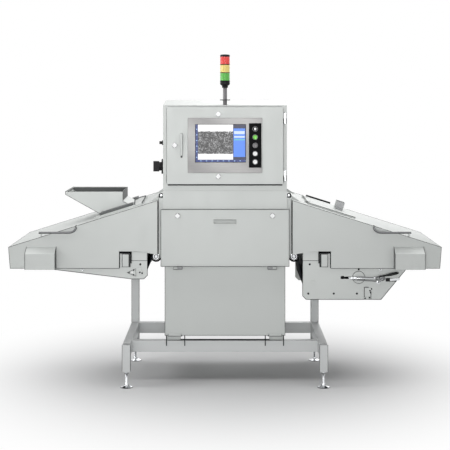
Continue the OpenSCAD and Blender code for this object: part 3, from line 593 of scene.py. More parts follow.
class Shape:
    """A mesh under construction, made with bmesh operators. Most methods return the shape, for chaining."""

    def __init__(self) -> None:
        """Starts with nothing."""
        self.mesh = bmesh.new()

    @classmethod
    def of_node(cls, node: bpy.types.Object) -> Shape:
        """Copy of a CAD node's mesh, with its loose triangles merged and its flat faces joined."""
        shape = cls()
        shape.mesh.from_mesh(node.data)
        bmesh.ops.remove_doubles(shape.mesh, verts=shape.mesh.verts, dist=MERGE_GAP)
        bmesh.ops.dissolve_limit(
            shape.mesh, angle_limit=CURVED_FROM, verts=shape.mesh.verts, edges=shape.mesh.edges
        )
        shape.shade(shape.mesh.faces)
        return shape

    def shade(self, faces: Iterable[bmesh.types.BMFace]) -> None:
        """Marks curved faces smooth, flat ones flat, and every corner edge sharp."""
        faces = list(faces)
        for edge in {e for f in faces for e in f.edges}:
            edge.smooth = len(edge.link_faces) == 2 and edge.calc_face_angle(0) < SHARP_FROM
        for face in faces:
            bends = [e.calc_face_angle(0) for e in face.edges if len(e.link_faces) == 2]
            face.smooth = any(CURVED_FROM < bend < CURVED_TO for bend in bends)

    def _bevel(
        self, edges: Sequence[bmesh.types.BMEdge], width: float, steps: int
    ) -> list[bmesh.types.BMFace]:
        """Rounds the edges and shades their new faces smooth.

        Args:
            edges: The edges.
            width: Width of the rounding.
            steps: Number of faces across it.

        Returns:
            The new faces.
        """
        made = bmesh.ops.bevel(
            self.mesh, geom=edges, offset=width, offset_type="OFFSET", segments=steps,
            profile=0.5, affect="EDGES", clamp_overlap=True, material=-1,
        )["faces"]
        for face in made:
            face.smooth = True
        return made

    def soften(self, width: float, new: Iterable[bmesh.types.BMFace] | None = None) -> Shape:
        """Rounds the sharp edges.

        Args:
            width: Width of the rounding.
            new: Faces whose edges are rounded; all faces when left out.

        Returns:
            The shape.
        """
        edges = {e for f in (self.mesh.faces if new is None else new) for e in f.edges}
        sharp = [e for e in edges if len(e.link_faces) == 2 and e.calc_face_angle(0) > SHARP_FROM]
        for face in self._bevel(sharp, width, EDGE_STEPS):
            for edge in face.edges:
                edge.smooth = True
        return self

    def round_corners(self, radius: float, low: Point, high: Point) -> Shape:
        """Rounds the four corner edges along Y of a flat form.

        Args:
            radius: Radius of the rounding.
            low: Lowest X and Z of the form.
            high: Highest X and Z of the form.

        Returns:
            The shape.
        """
        def near(value: float, index: int) -> bool:
            """Tells whether an X or Z is that of a side of the form."""
            return min(abs(value - low[index]), abs(value - high[index])) < CORNER_REACH

        corners = [
            edge for edge in self.mesh.edges if all(near(v.co.x, 0) and near(v.co.z, 1) for v in edge.verts)
        ]
        self._bevel(corners, radius, CORNER_STEPS)
        return self

    def _since(self, before: set[bmesh.types.BMVert]) -> list[bmesh.types.BMVert]:
        """Vertices other than those that were there before."""
        return [v for v in self.mesh.verts if v not in before]

    def _finish_new(self, verts: Iterable[bmesh.types.BMVert], width: float = 0.0) -> Shape:
        """Shades the faces of new vertices and rounds their edges."""
        faces = list({f for v in verts for f in v.link_faces})
        bmesh.ops.recalc_face_normals(self.mesh, faces=faces)
        self.shade(faces)
        return self.soften(width, faces) if width else self

    def box(self, low: Point, high: Point, width: float = 0.0) -> Shape:
        """Adds a box between two corners, with rounded edges."""
        low, high = Vector(low), Vector(high)
        matrix = Matrix.Translation((low + high) / 2) @ Matrix.Diagonal((*(high - low), 1.0))
        return self._finish_new(bmesh.ops.create_cube(self.mesh, size=1.0, matrix=matrix)["verts"], width)

    def surround(self, low: Point, high: Point, edge: float, width: float) -> Shape:
        """Adds a frame of four strips round an opening that is seen along Y.

        Args:
            low: Lowest corner of the opening, and its front.
            high: Highest corner of the opening, and its back.
            edge: Breadth of the strips.
            width: Width of the rounding of their edges.

        Returns:
            The shape.
        """
        for z in (low[2] - edge, high[2]):
            self.box((low[0] - edge, low[1], z), (high[0] + edge, high[1], z + edge), width)
        for x in (low[0] - edge, high[0]):
            self.box((x, low[1], low[2]), (x + edge, high[1], high[2]), width)
        return self

    def ring(
        self, inner: float, outer: float, low: float, high: float, centre: Point, axis: Point = UP,
        sides: int = 32,
    ) -> Shape:
        """Adds a band round a hole.

        Args:
            inner: Radius of the hole.
            outer: Radius of the band.
            low: Foot of the band, along the axis.
            high: Head of the band, along the axis.
            centre: Foot of the axis.
            axis: Direction of the axis.
            sides: Number of steps round it.

        Returns:
            The shape.
        """
        return self.lathe([(inner, low), (outer, low), (outer, high), (inner, high)], centre, axis, sides)

    def rod(self, start: Point, end: Point, radius: float, width: float = 0.0, sides: int = 32) -> Shape:
        """Adds a round or many-sided rod.

        Args:
            start: Middle of the first end.
            end: Middle of the other end.
            radius: Radius of the rod.
            width: Width of the rounding of its sharp edges.
            sides: Number of sides.

        Returns:
            The shape.
        """
        start, end = Vector(start), Vector(end)
        along = end - start
        turn = along.to_track_quat("Z", "Y").to_matrix().to_4x4()
        made = bmesh.ops.create_cone(
            self.mesh, cap_ends=True, segments=sides, radius1=radius, radius2=radius, depth=along.length,
            matrix=Matrix.Translation((start + end) / 2) @ turn,
        )
        return self._finish_new(made["verts"], width)

    def lathe(self, profile: Sequence[Point], centre: Point, axis: Point = UP, sides: int = 40) -> Shape:
        """Adds a turned form.

        Args:
            profile: Radius and height of each point of its outline, from one end to the other.
            centre: Foot of the axis.
            axis: Direction of the axis.
            sides: Number of steps round it.

        Returns:
            The shape.
        """
        turn = Vector(axis).to_track_quat("Z", "Y").to_matrix()
        centre = Vector(centre)
        points = [self.mesh.verts.new(centre + turn @ Vector((r, 0, h))) for r, h in profile]
        edges = [self.mesh.edges.new(pair) for pair in zip(points, points[1:])]
        before = set(self.mesh.verts) - {*points}
        bmesh.ops.spin(
            self.mesh, geom=points + edges, cent=centre, axis=Vector(axis), dvec=(0, 0, 0),
            angle=FULL_TURN, steps=sides, use_merge=True, use_normal_flip=False, use_duplicate=False,
        )
        bmesh.ops.remove_doubles(self.mesh, verts=self._since(before), dist=MERGE_GAP)
        edges = {e for v in self._since(before) for f in v.link_faces for e in f.edges}
        bmesh.ops.dissolve_degenerate(self.mesh, dist=MERGE_GAP, edges=list(edges))
        fresh = self._since(before)
        self._finish_new(fresh)
        for face in {f for v in fresh for f in v.link_faces}:
            face.smooth = True
        return self

    def plate(
        self, outline: Sequence[Point], origin: Point, across: Point, up: Point, thickness: float,
        width: float = 0.0,
    ) -> Shape:
        """Adds a flat plate.

        Args:
            outline: Points across and up from the origin.
            origin: Zero point of the outline.
            across: Direction of the outline's first axis.
            up: Direction of its second axis.
            thickness: Thickness, laid on the side of across times up.
            width: Width of the rounding of its edges.

        Returns:
            The shape.
        """
        origin, across, up = Vector(origin), Vector(across), Vector(up)
        corners = [self.mesh.verts.new(origin + across * a + up * u) for a, u in outline]
        face = self.mesh.faces.new(corners)
        made = bmesh.ops.extrude_face_region(self.mesh, geom=[face], use_keep_orig=True)
        top = [g for g in made["geom"] if isinstance(g, bmesh.types.BMVert)]
        bmesh.ops.translate(self.mesh, verts=top, vec=across.cross(up).normalized() * thickness)
        return self._finish_new(corners + top, width)

    def pipe(self, points: Sequence[Point], radius: float, bend: float, sides: int = 16) -> Shape:
        """Adds a bent rod.

        Args:
            points: Corners and ends of its middle line.
            radius: Radius of the rod.
            bend: Radius of its bends, measured along the straight runs.
            sides: Number of sides.

        Returns:
            The shape.
        """
        route = [Vector(p) for p in points]
        line = [route[0]]
        for last, here, following in zip(route, route[1:], route[2:]):
            start = here + (last - here).normalized() * bend
            end = here + (following - here).normalized() * bend
            for step in range(BEND_STEPS + 1):
                t = step / BEND_STEPS
                line.append(start * (1 - t) ** 2 + here * 2 * t * (1 - t) + end * t * t)
        line.append(route[-1])
        curve = bpy.data.curves.new("pipe", "CURVE")
        curve.dimensions = "3D"
        curve.bevel_depth = radius
        curve.bevel_resolution = sides // 4
        curve.use_fill_caps = True
        spline = curve.splines.new("POLY")
        spline.points.add(len(line) - 1)
        for point, place in zip(spline.points, line):
            point.co = (*place, 1.0)
        holder = bpy.data.objects.new("pipe", curve)
        mesh = bpy.data.meshes.new_from_object(holder)
        before = set(self.mesh.verts)
        self.mesh.from_mesh(mesh)
        bpy.data.objects.remove(holder)
        bpy.data.curves.remove(curve)
        bpy.data.meshes.remove(mesh)
        bmesh.ops.remove_doubles(self.mesh, verts=self._since(before), dist=MERGE_GAP)
        return self._finish_new(self._since(before))


def middle_of(node: str) -> Vector:
    """Middle of a CAD node's box."""
    low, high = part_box(node)
    return (low + high) / 2


@dataclass
class Section:
    """Section of the machine, which turns shapes into pieces that ride on a body and wear a finish."""

    nodes: dict[str, bpy.types.Object]
    palette: Palette

    def body(self, node: str) -> str:
        """Body that a CAD node rides on."""
        return self.nodes[node]["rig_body"]

    def piece(self, shape: Shape, name: str, body: str, look: Look, *nodes: str) -> None:
        """Makes a finished piece.

        Args:
            shape: The piece's shape, which is used up.
            name: Name of the piece.
            body: Body that it rides on.
            look: Its finish.
            nodes: CAD nodes that it stands for.
        """
        mesh = bpy.data.meshes.new(name)
        bmesh.ops.dissolve_degenerate(shape.mesh, dist=MERGE_GAP, edges=shape.mesh.edges)
        shape.mesh.to_mesh(mesh)
        shape.mesh.free()
        mesh.materials.append(self.palette[look])
        made = bpy.data.objects.new(name, mesh)
        bpy.context.scene.collection.objects.link(made)
        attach(made, body)
        if nodes:
            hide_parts(*nodes)
        look.slot
        LOG.info("piece %s: %d faces on %s", name, len(mesh.polygons), body)

    def soften(self, look: Look, width: float, *nodes: str) -> None:
        """Replaces CAD nodes by the same shapes with rounded edges."""
        for node in nodes:
            shape = Shape.of_node(self.nodes[node]).soften(width)
            self.piece(shape, f"{node}_formed", self.body(node), look, node)

    def dress(self, look: Look, *nodes: str) -> None:
        """Gives CAD nodes a finish."""
        for node in nodes:
            slots = self.nodes[node].data.materials
            slots.clear()
            slots.append(self.palette[look])

    def lines(
        self, name: str, body: str, routes: Sequence[Sequence[Point]], radius: float, look: Look = Look.SEAM
    ) -> None:
        """Lays one piece of thin lines, such as the dark gaps along folds and joints, and painted shade along
        some edges.

        Args:
            name: Name of the piece.
            body: Body that it rides on.
            routes: Corner points of each line.
            radius: Half the lines' width.
            look: Finish of the lines.
        """
        shape = Shape()
        for route in routes:
            for start, end in zip(route, route[1:]):
                shape.rod(start, end, radius, 0.0, 6)
        self.piece(shape, name, body, look)

    def screws(
        self, name: str, body: str, places: Sequence[Point], axis: Point, radius: float,
        look: Look = Look.POLISHED,
    ) -> None:
        """Adds one piece of button-head screws with hexagon sockets.

        Args:
            name: Name of the piece.
            body: Body that it rides on.
            places: Middle of each head's seat.
            axis: Direction in which the heads point.
            radius: Radius of a head.
            look: Finish of the screws.
        """
        shape = Shape()
        rise = radius * 0.6
        profile = [
            (0, rise * 0.35), (radius * 0.42, rise * 0.35), (radius * 0.46, rise),
            (radius * 0.7, rise * 0.86), (radius * 0.92, rise * 0.5), (radius, 0), (0, 0),
        ]
        for place in places:
            shape.lathe(profile, place, axis, 12)
        self.piece(shape, name, body, look)


@dataclass(frozen=True)
class Roof:
    """Sloping roof of a hood, by distance from the machine's middle."""

    end: float = 1.316
    low: float = 0.856
    slope_share: float = 0.3128

    def height(self, x: float) -> float:
        """Height of the roof's outer face."""
        return self.low + (self.end - abs(x)) * self.slope_share

    def above(self, x: float, lift: float) -> Point:
        """X and Z of a point that lies above the roof by the lift, square to it."""
        length = math.hypot(1.0, self.slope_share)
        out = lift * self.slope_share / length
        return (x + math.copysign(out, x), self.height(x) + lift / length)


def span(sign: int, near: float, far: float) -> list[float]:
    """Both distances on the side that the sign tells, the lower value first."""
    return sorted((sign * near, sign * far))


class Side(Enum):
    """End of the machine; the value is the sign of its X."""

    INFEED = -1
    OUTFEED = 1

    @property
    def label(self) -> str:
        """The end's name."""
        return self.name.lower()


@dataclass
class Stand(Section):
    """Open stand of square tube on four levelling feet."""

    rounding: float = 0.004
    thread_pitch: float = 0.0025
    thread_depth: float = 0.0009
    nut_across: float = 0.014
    nut_height: float = 0.012
    bead: float = 0.0028
    stem_radius: float = 0.008
    tube: float = 0.050
    deck_half: float = 0.350

    def build(self) -> None:
        """Makes the stand."""
        tubes = ("base_beams", "base_rails", "rear_uprights", "front_legs", "cantilever_arms")
        self.soften(Look.FRAME, self.rounding, *tubes)
        self.soften(Look.SEAM, 0.001, "rail_hooks")
        self.feet()
        self.welds()
        self.arm_plugs()
        self.edges()

    def edges(self) -> None:
        """Draws dark lines at the sides of the legs and uprights, as seen from the front: painted shade along
        their edges.
        """
        routes = []
        for node in ("front_legs", "rear_uprights"):
            low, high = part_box(node)
            for side in Side:
                for x in (side.value * high.x, side.value * (high.x - self.tube)):
                    routes.append([(x, low.y, low.z + 0.004), (x, low.y, high.z)])
        # Painted shade: dark lines along the front edges of the legs and uprights.
        self.lines("leg_edges", "stand", routes, 0.0014)

    def arm_plugs(self) -> None:
        """Closes the arms' front ends with bright plates on dark plugs, and lays painted shadow on the front
        rail's top.
        """
        low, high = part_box("cantilever_arms")
        rim = 0.003
        plugs, faces = Shape(), Shape()
        for side in Side:
            left, right = span(side.value, high.x - self.tube, high.x)
            plugs.box((left, low.y - 0.0015, low.z), (right, low.y + 0.004, high.z), 0.0006)
            left, right = span(side.value, high.x - self.tube + 0.010, high.x - rim)
            faces.box((left, low.y - 0.0035, low.z + rim), (right, low.y - 0.001, high.z - rim), 0.0008)
        self.piece(plugs, "arm_plugs", "stand", Look.SEAM)
        self.piece(faces, "arm_faces", "stand", Look.CABINET)
        # Dark strip on the front rail's top face: painted shadow of the lower cabinet above it.
        rail_low, rail_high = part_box("base_rails")
        top_shadow = Shape().box(
            (-self.deck_half, rail_low.y + 0.006, rail_high.z - 0.001),
            (self.deck_half, rail_low.y + 0.044, rail_high.z + 0.001), 0.0004,
        )
        self.piece(top_shadow, "rail_deck", "stand", Look.SEAM)

    def centres(self) -> list[Vector]:
        """Middle of each foot on the floor."""
        low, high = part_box("foot_pads")
        radius = self.pad_radius()
        ys = (low.y + radius, high.y - radius)
        return [Vector((x, y, 0)) for x in (low.x + radius, high.x - radius) for y in ys]

    def pad_radius(self) -> float:
        """Radius of a foot's pad, which is how far it reaches past the middle of its leg."""
        pads, legs, beams, rails = (
            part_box(node)[1].x for node in ("foot_pads", "front_legs", "base_beams", "base_rails")
        )
        return pads - legs + (beams - rails) / 2

    def feet(self) -> None:
        """Makes the threaded stems with their nuts, and the pads."""
        stem_low, stem_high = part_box("foot_stems")
        legs_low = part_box("front_legs")[0].z
        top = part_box("foot_pads")[1].z
        radius = self.pad_radius()
        root = self.stem_radius - self.thread_depth
        profile = [(0.0, stem_low.z)]
        z = stem_low.z
        while z < legs_low + 0.004:
            profile += [(root, z), (self.stem_radius, z + self.thread_pitch / 2)]
            z += self.thread_pitch
        profile += [(root, z), (root, stem_high.z), (0, stem_high.z)]
        pad_profile = [
            (0, 0), (radius - 0.001, 0), (radius, 0.001), (radius, top * 0.28), (radius - 0.002, top * 0.36),
            (radius * 0.5, top * 0.72), (radius * 0.42, top * 0.9), (radius * 0.40, top), (0, top),
        ]
        stems, pads, rims = Shape(), Shape(), Shape()
        for foot in self.centres():
            stems.lathe(profile, foot, sides=20)
            low = foot + Vector((0, 0, legs_low - self.nut_height))
            stems.rod(low, low + Vector((0, 0, self.nut_height)), self.nut_across, 0.0012, 6)
            pads.lathe(pad_profile, foot, sides=48)
            ball = foot + Vector((0, 0, top))
            pads.lathe([(0.0125, 0), (0.0125, 0.004), (0.010, 0.009), (0.0082, 0.011)], ball, sides=32)
            rims.ring(radius - 0.0014, radius + 0.0006, 0.0004, 0.0036, foot, sides=48)
            rims.ring(0.0126, 0.0150, 0, 0.0012, ball)
            under, over = low - Vector((0, 0, 0.0006)), low + Vector((0, 0, 0.0016))
            rims.rod(under, over, self.nut_across + 0.001, 0.0, 6)
        self.piece(rims, "foot_rims", "stand", Look.SEAM)
        self.piece(stems, "threaded_stems", "stand", Look.POLISHED, "foot_stems")
        self.piece(pads, "levelling_pads", "stand", Look.POLISHED, "foot_pads")

    def welds(self) -> None:
        """Lays weld beads where the rails and arms meet the legs."""
        beams_low, beams_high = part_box("base_beams")
        rails_low, rails_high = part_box("base_rails")
        seats = ((rails_low.y, rails_low.y + self.tube), (rails_high.y - self.tube, rails_high.y))
        beads = Shape()
        for x in (rails_low.x, rails_high.x):
            for y in (*seats[0], *seats[1]):
                beads.rod((x, y, beams_low.z), (x, y, beams_high.z), self.bead, sides=8)
            for z in (beams_low.z, beams_high.z):
                for start, end in seats:
                    beads.rod((x, start, z), (x, end, z), self.bead, sides=8)
        self.piece(beads, "frame_welds", "stand", Look.FRAME)


@dataclass
class LowerCabinet(Section):
    """Closed cabinet under the tunnel, with a screwed front panel."""

    rounding: float = 0.0025
    tab_width: float = 0.080
    tab_height: float = 0.012
    tab_place: float = 0.310
    tab_step: float = 0.004
    screw_radius: float = 0.0055
    screw_inset: float = 0.022
    vent_count: int = 7
    vent_pitch: float = 0.022

    def build(self) -> None:
        """Makes the cabinet, its front panel, the dark seams round it, its tabs, screws and rear cover."""
        self.soften(Look.BLASTED, self.rounding, "lower_cabinet")
        low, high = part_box("lower_front_panel")
        panel = Shape.of_node(self.nodes["lower_front_panel"]).soften(0.0012)
        y, half, step = low.y - 0.0004, self.tab_width / 2, self.tab_step
        routes = [[(low.x, y, high.z), (low.x, y, low.z), (high.x, y, low.z), (high.x, y, high.z)]]
        outline = ((-half, 0.010), (-half, -step), (half, -step), (half, 0.010))
        for x in (-self.tab_place, self.tab_place):
            top = low.z + self.tab_height
            panel.box((x - half, low.y - step, low.z - step), (x + half, low.y, top), 0.0015)
            routes.append([(x + a, y - step, low.z + up) for a, up in outline])
        self.piece(panel, "lower_panel_formed", "stand", Look.BLASTED, "lower_front_panel")
        self.lines("lower_cabinet_seams", "stand", routes, 0.0014)
        under = [[(x - 0.034, y, low.z - 0.003), (x + 0.034, y, low.z - 0.003)] for x in (-0.297, 0.297)]
        self.lines("lower_cabinet_feet_gaps", "stand", under, 0.0030)
        rows = (low.z + 0.10, (low.z + high.z) / 2, high.z - 0.10)
        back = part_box("lower_cabinet")[1].y
        places = [(x, back, z) for x in (low.x + self.screw_inset, high.x - self.screw_inset) for z in rows]
        self.screws("lower_rear_screws", "stand", places, ACROSS, self.screw_radius)
        cover = Shape().box(
            (low.x + 0.04, back, low.z + 0.04), (high.x - 0.04, back + 0.002, high.z - 0.06), 0.0008
        )
        for row in range(self.vent_count):
            z = low.z + 0.10 + row * self.vent_pitch
            cover.box((-0.12, back + 0.001, z), (0.12, back + 0.008, z + 0.012), 0.0035)
        self.piece(cover, "lower_rear_cover", "stand", Look.BLASTED)


@dataclass
class Lock(Section):
    """Quarter-turn lock: a dished head with a square driver."""

    node: str
    head_radius: float = 0.016
    driver: float = 0.0158
    rise: float = 0.0022

    def build(self) -> None:
        """Makes the lock."""
        low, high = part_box(self.node)
        centre = Vector(((low.x + high.x) / 2, low.y, low.z + self.head_radius))
        body, radius = self.body(self.node), self.head_radius
        lock = Shape.of_node(self.nodes[self.node]).soften(0.0005)
        lock.lathe(
            [(radius * 0.62, 0), (radius * 0.66, 0.0014), (radius * 0.9, 0.0014), (radius * 1.02, -0.001),
             (radius * 1.02, -0.0052)], centre, FRONT, 36,
        )
        self.piece(lock, f"{self.node}_head", body, Look.TRIM, self.node)
        inside, outside = centre + Vector((0, 0.001, 0)), centre - Vector((0, self.rise, 0))
        driver = Shape().rod(inside, outside, self.driver, 0.0006, 4)
        self.piece(driver, f"{self.node}_driver", body, Look.WHITE)


@dataclass
class Tower(Section):
    """Housing of the tunnel, with its collars, bare band and service door."""

    rounding: float = 0.0025
    lip: float = 0.0022
    seal: float = 0.005
    cover_inset: float = 0.05
    screw_radius: float = 0.006
    hinge_place: float = 0.286
    hood_pin: tuple[float, float] = (0.393, 1.162)
    hood_pin_hole: float = 0.0070
    pin_reach: float = 0.292
    pull: tuple[float, float, float] = (0.067, 1.002, 1.024)
    curtain_count: int = 11
    curtain_thickness: float = 0.0012
    curtain_half: float = 0.296
    curtain_top: float = 1.062

    def build(self) -> None:
        """Makes the tower's sheets and locks, the ends of the hoods' pins, and what is inside."""
        self.soften(Look.BLASTED, self.rounding, "tunnel_housing", "front_band", "service_door")
        self.soften(Look.BLASTED, 0.0015, "tunnel_collars")
        self.soften(Look.TRIM, 0.0008, "service_door_hinges")
        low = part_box("service_door_hinges")[0]
        y, reach, tall = low.y + 0.0006, 0.027, 0.015
        leaf = ((-reach, 0), (reach, 0), (reach, tall), (-reach, tall), (-reach, 0))
        places = (-self.hinge_place, self.hinge_place)
        frames = [[(x + across, y, low.z + up) for across, up in leaf] for x in places]
        self.lines("service_hinge_edges", "stand", frames, 0.0010)
        for name in ("service_lock_left", "service_lock_right"):
            Lock(self.nodes, self.palette, name).build()
        washers, ends = Shape(), Shape()
        x, z = self.hood_pin
        hole = self.hood_pin_hole
        for side in Side:
            for face in FACES:
                seat = (side.value * x, face * self.pin_reach, z)
                washers.ring(hole, 0.0160, 0.0, 0.004, seat, (0, face, 0))
                ends.lathe([(0.0, 0.0045), (hole, 0.0035), (hole, 0.0), (0.0, 0.0)], seat, (0, face, 0), 32)
        self.piece(washers, "hood_pin_washers", "stand", Look.SEAM)
        self.piece(ends, "hood_pin_ends", "stand", Look.POLISHED)
        self.pull_lip()
        self.rear_cover()
        self.curtains()
        self.dress(Look.TANK, "xray_generator", "detector")

    def pull_lip(self) -> None:
        """Makes the folded lip round the service door's finger pull, and the door's seal."""
        low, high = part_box("service_door")
        half, sill, head = self.pull
        lip = Shape().surround((-half, low.y - 0.0012, sill), (half, low.y + 0.004, head), self.lip, 0.0008)
        self.piece(lip, "service_pull_lip", "service_door", Look.BLASTED)
        y, foot = low.y - 0.0003, low.z + 0.018
        edge = [
            (low.x, y, high.z), (low.x, y, foot), (high.x, y, foot), (high.x, y, high.z), (low.x, y, high.z),
        ]
        self.lines("service_door_seams", "service_door", [edge, [(-half, y, head), (half, y, head)]], 0.0013)
        back = high.y - 0.001
        seal = Shape()
        left, right = low.x + 0.016, high.x - 0.016
        bottom, top = low.z + 0.025, high.z - 0.008
        for z in (bottom, top - self.seal):
            seal.box((left, back - 0.010, z), (right, back, z + self.seal), 0.002)
        for x in (left, right - self.seal):
            seal.box((x, back - 0.010, bottom), (x + self.seal, back, top), 0.002)
        self.piece(seal, "service_door_seal", "service_door", Look.SEAL)

    def rear_cover(self) -> None:
        """Makes the screwed cover on the back of the housing."""
        low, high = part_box("tunnel_housing")
        edge = self.cover_inset
        cover = Shape().box(
            (low.x + edge, high.y, low.z + edge), (high.x - edge, high.y + 0.0025, high.z - edge), 0.001
        )
        self.piece(cover, "tunnel_rear_cover", "stand", Look.BLASTED)
        xs = [low.x + edge + 0.02 + (high.x - low.x - 2 * edge - 0.04) * i / 4 for i in range(5)]
        zs = (low.z + edge + 0.02, high.z - edge - 0.02)
        places = [(x, high.y + 0.0025, z) for x in xs for z in zs]
        self.screws("tunnel_rear_screws", "stand", places, ACROSS, self.screw_radius)

    def curtains(self) -> None:
        """Hangs shielding strips in both mouths of the tunnel."""
        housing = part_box("tunnel_housing")[1].x
        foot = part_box("belt")[1].z + 0.004
        half, top = self.curtain_half, self.curtain_top
        pitch = 2 * half / self.curtain_count
        for side in Side:
            strips = Shape()
            x = side.value * (housing - 0.008)
            for i in range(self.curtain_count):
                y = -half + i * pitch
                near = x + 0.0016 * (i % 2)
                strips.box((near, y + 0.0008, foot), (near + self.curtain_thickness, y + pitch - 0.0008, top))
            strips.box((x - 0.003, -half, top - 0.022), (x + 0.006, half, top), 0.001)
            self.piece(strips, f"{side.label}_curtain", "stand", Look.SEAL)


@dataclass
class ControlCabinet(Section):
    """Cabinet with the screen, the buttons and the isolator."""

    rounding: float = 0.003
    # Width of the painted shadow strip under the door.
    seal: float = 0.008
    corner: float = 0.007
    ring: float = 0.0165
    outline: float = 0.0030
    louvres: int = 8
    hinge_pin: float = 0.0055
    hinge_sleeve: float = 0.0084
    hinge_half: float = 0.031
    hinge_heights: tuple[float, float] = (1.638, 1.291)
    screen_edge: float = 0.0025
    caps: tuple[Look, ...] = (Look.WHITE, Look.GREEN, Look.GREY, Look.WHITE, Look.WHITE)

    def build(self) -> None:
        """Makes the cabinet."""
        self.soften(Look.CABINET, self.rounding, "control_cabinet")
        self.soften(Look.CABINET, 0.0026, "door_pull")
        self.rounded("cabinet_door", Look.CABINET, self.corner, 0.004, (-0.354, 1.239), (0.354, 1.709))
        low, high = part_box("screen_bezel")
        self.rounded("screen_bezel", Look.BEZEL, 0.004, 0.0014, (low.x, low.z), (high.x, high.z))
        self.dress(Look.SCREEN, "screen")
        self.soften(Look.KEYPAD, 0.0008, "button_panel")
        for name in ("door_lock_top", "door_lock_side", "door_lock_bottom"):
            Lock(self.nodes, self.palette, name).build()
        # Black dot under the pull, made as a screw head: painted shadow at the pull's lower end.
        dot = [(middle_of("door_pull").x, low.y + 0.004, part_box("door_pull")[0].z - 0.008)]
        self.screws("door_pull_dot", "cabinet_door", dot, FRONT, 0.0062, Look.BLACK)
        self.door_seal()
        self.door_edges()
        self.hinges()
        self.screen_frame()
        for number, cap in enumerate(self.caps, start=1):
            self.button(number, cap)
        self.panel_outline()
        self.isolator()
        self.back()

    def rounded(self, node: str, look: Look, corner: float, width: float, low: Point, high: Point) -> None:
        """Replaces a flat CAD node by the same shape with rounded corners and edges.

        Args:
            node: The CAD node.
            look: Its finish.
            corner: Radius of its corners.
            width: Width of the rounding of its edges.
            low: Lowest X and Z of its outline.
            high: Highest X and Z of its outline.
        """
        shape = Shape.of_node(self.nodes[node]).round_corners(corner, low, high).soften(width)
        self.piece(shape, f"{node}_formed", self.body(node), look, node)

    def door_seal(self) -> None:
        """Lays a dark rubber strip round the door, wide under it, as painted shadow of the door."""
        low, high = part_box("cabinet_door")
        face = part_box("front_band")[0].y + 0.002
        left, right, thin = low.x, -low.x, self.seal * 0.15
        # Painted shadow: a wide dark strip under the door and thin ones at its top and sides.
        seal = Shape()
        for bottom, top in ((low.z - self.seal, low.z), (high.z, high.z + thin)):
            seal.box((left + 0.006, face - 0.012, bottom), (right - 0.006, face, top), 0.0008)
        for x in (left - thin, right):
            seal.box((x, face - 0.012, low.z + 0.006), (x + thin, face, high.z - 0.006), 0.0006)
        self.piece(seal, "cabinet_door_seal", "stand", Look.SEAL)

    def door_edges(self) -> None:
        """Draws the dark line under the door and up round its lower corners, and a thin one up its left side:
        painted shade of the door's edges.
        """
        low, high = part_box("cabinet_door")
        y, left, turn = low.y + 0.008, -0.3545, 0.012
        # Painted shade along the door's lower edge and corners, and up its left side.
        route = [(left, y, low.z + 0.060), (left, y, low.z + turn)]
        route += [(left + turn / 3, y, low.z + turn / 3), (left + turn, y, low.z)]
        route += [(-x, y, z) for x, _, z in reversed(route)]
        self.lines("cabinet_door_edges", "cabinet_door", [route], 0.0024)
        side = [(left, y, low.z + turn), (left, y, high.z - turn)]
        self.lines("cabinet_door_side", "cabinet_door", [side], 0.0011)

    def hinges(self) -> None:
        """Puts bright sleeves and end caps on the door's hinges, with dark lines of painted shade beside the
        fixed sleeves.
        """
        axis_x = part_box("cabinet_door")[1].x - 0.008
        axis_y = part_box("front_band")[0].y + 0.002 - 0.012
        fixed, moving = Shape(), Shape()
        pin, sleeve, half = self.hinge_pin, self.hinge_sleeve, self.hinge_half
        taper, gap = sleeve * 0.6, 0.0006
        routes = []
        for z in self.hinge_heights:
            foot = Vector((axis_x, axis_y, z - half))
            fixed.lathe(
                [(0, -0.003), (taper, -0.003), (sleeve, -0.0008), (sleeve, half - gap), (pin, half - gap)],
                foot, sides=32,
            )
            moving.lathe(
                [(pin, half + gap), (sleeve, half + gap), (sleeve, 2 * half + 0.001),
                 (taper, 2 * half + 0.0035), (0, 2 * half + 0.0035)], foot, sides=32,
            )
            # Painted shade: dark lines beside each fixed sleeve.
            for x in (axis_x - sleeve, axis_x + sleeve):
                routes.append([(x, axis_y - sleeve * 0.3, z - half), (x, axis_y - sleeve * 0.3, z)])
        self.piece(fixed, "hinge_sleeves_fixed", "stand", Look.POLISHED)
        self.lines("hinge_edges", "stand", routes, 0.0016)
        self.piece(moving, "hinge_sleeves_moving", "cabinet_door", Look.POLISHED)

    def screen_frame(self) -> None:
        """Makes the thin black frame round the screen."""
        low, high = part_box("screen")
        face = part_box("screen_bezel")[0].y
        frame = Shape().surround(
            (low.x, face - 0.0008, low.z), (high.x, face + 0.002, high.z), self.screen_edge, 0.0003
        )
        self.piece(frame, "screen_frame", "cabinet_door", Look.KEYPAD)

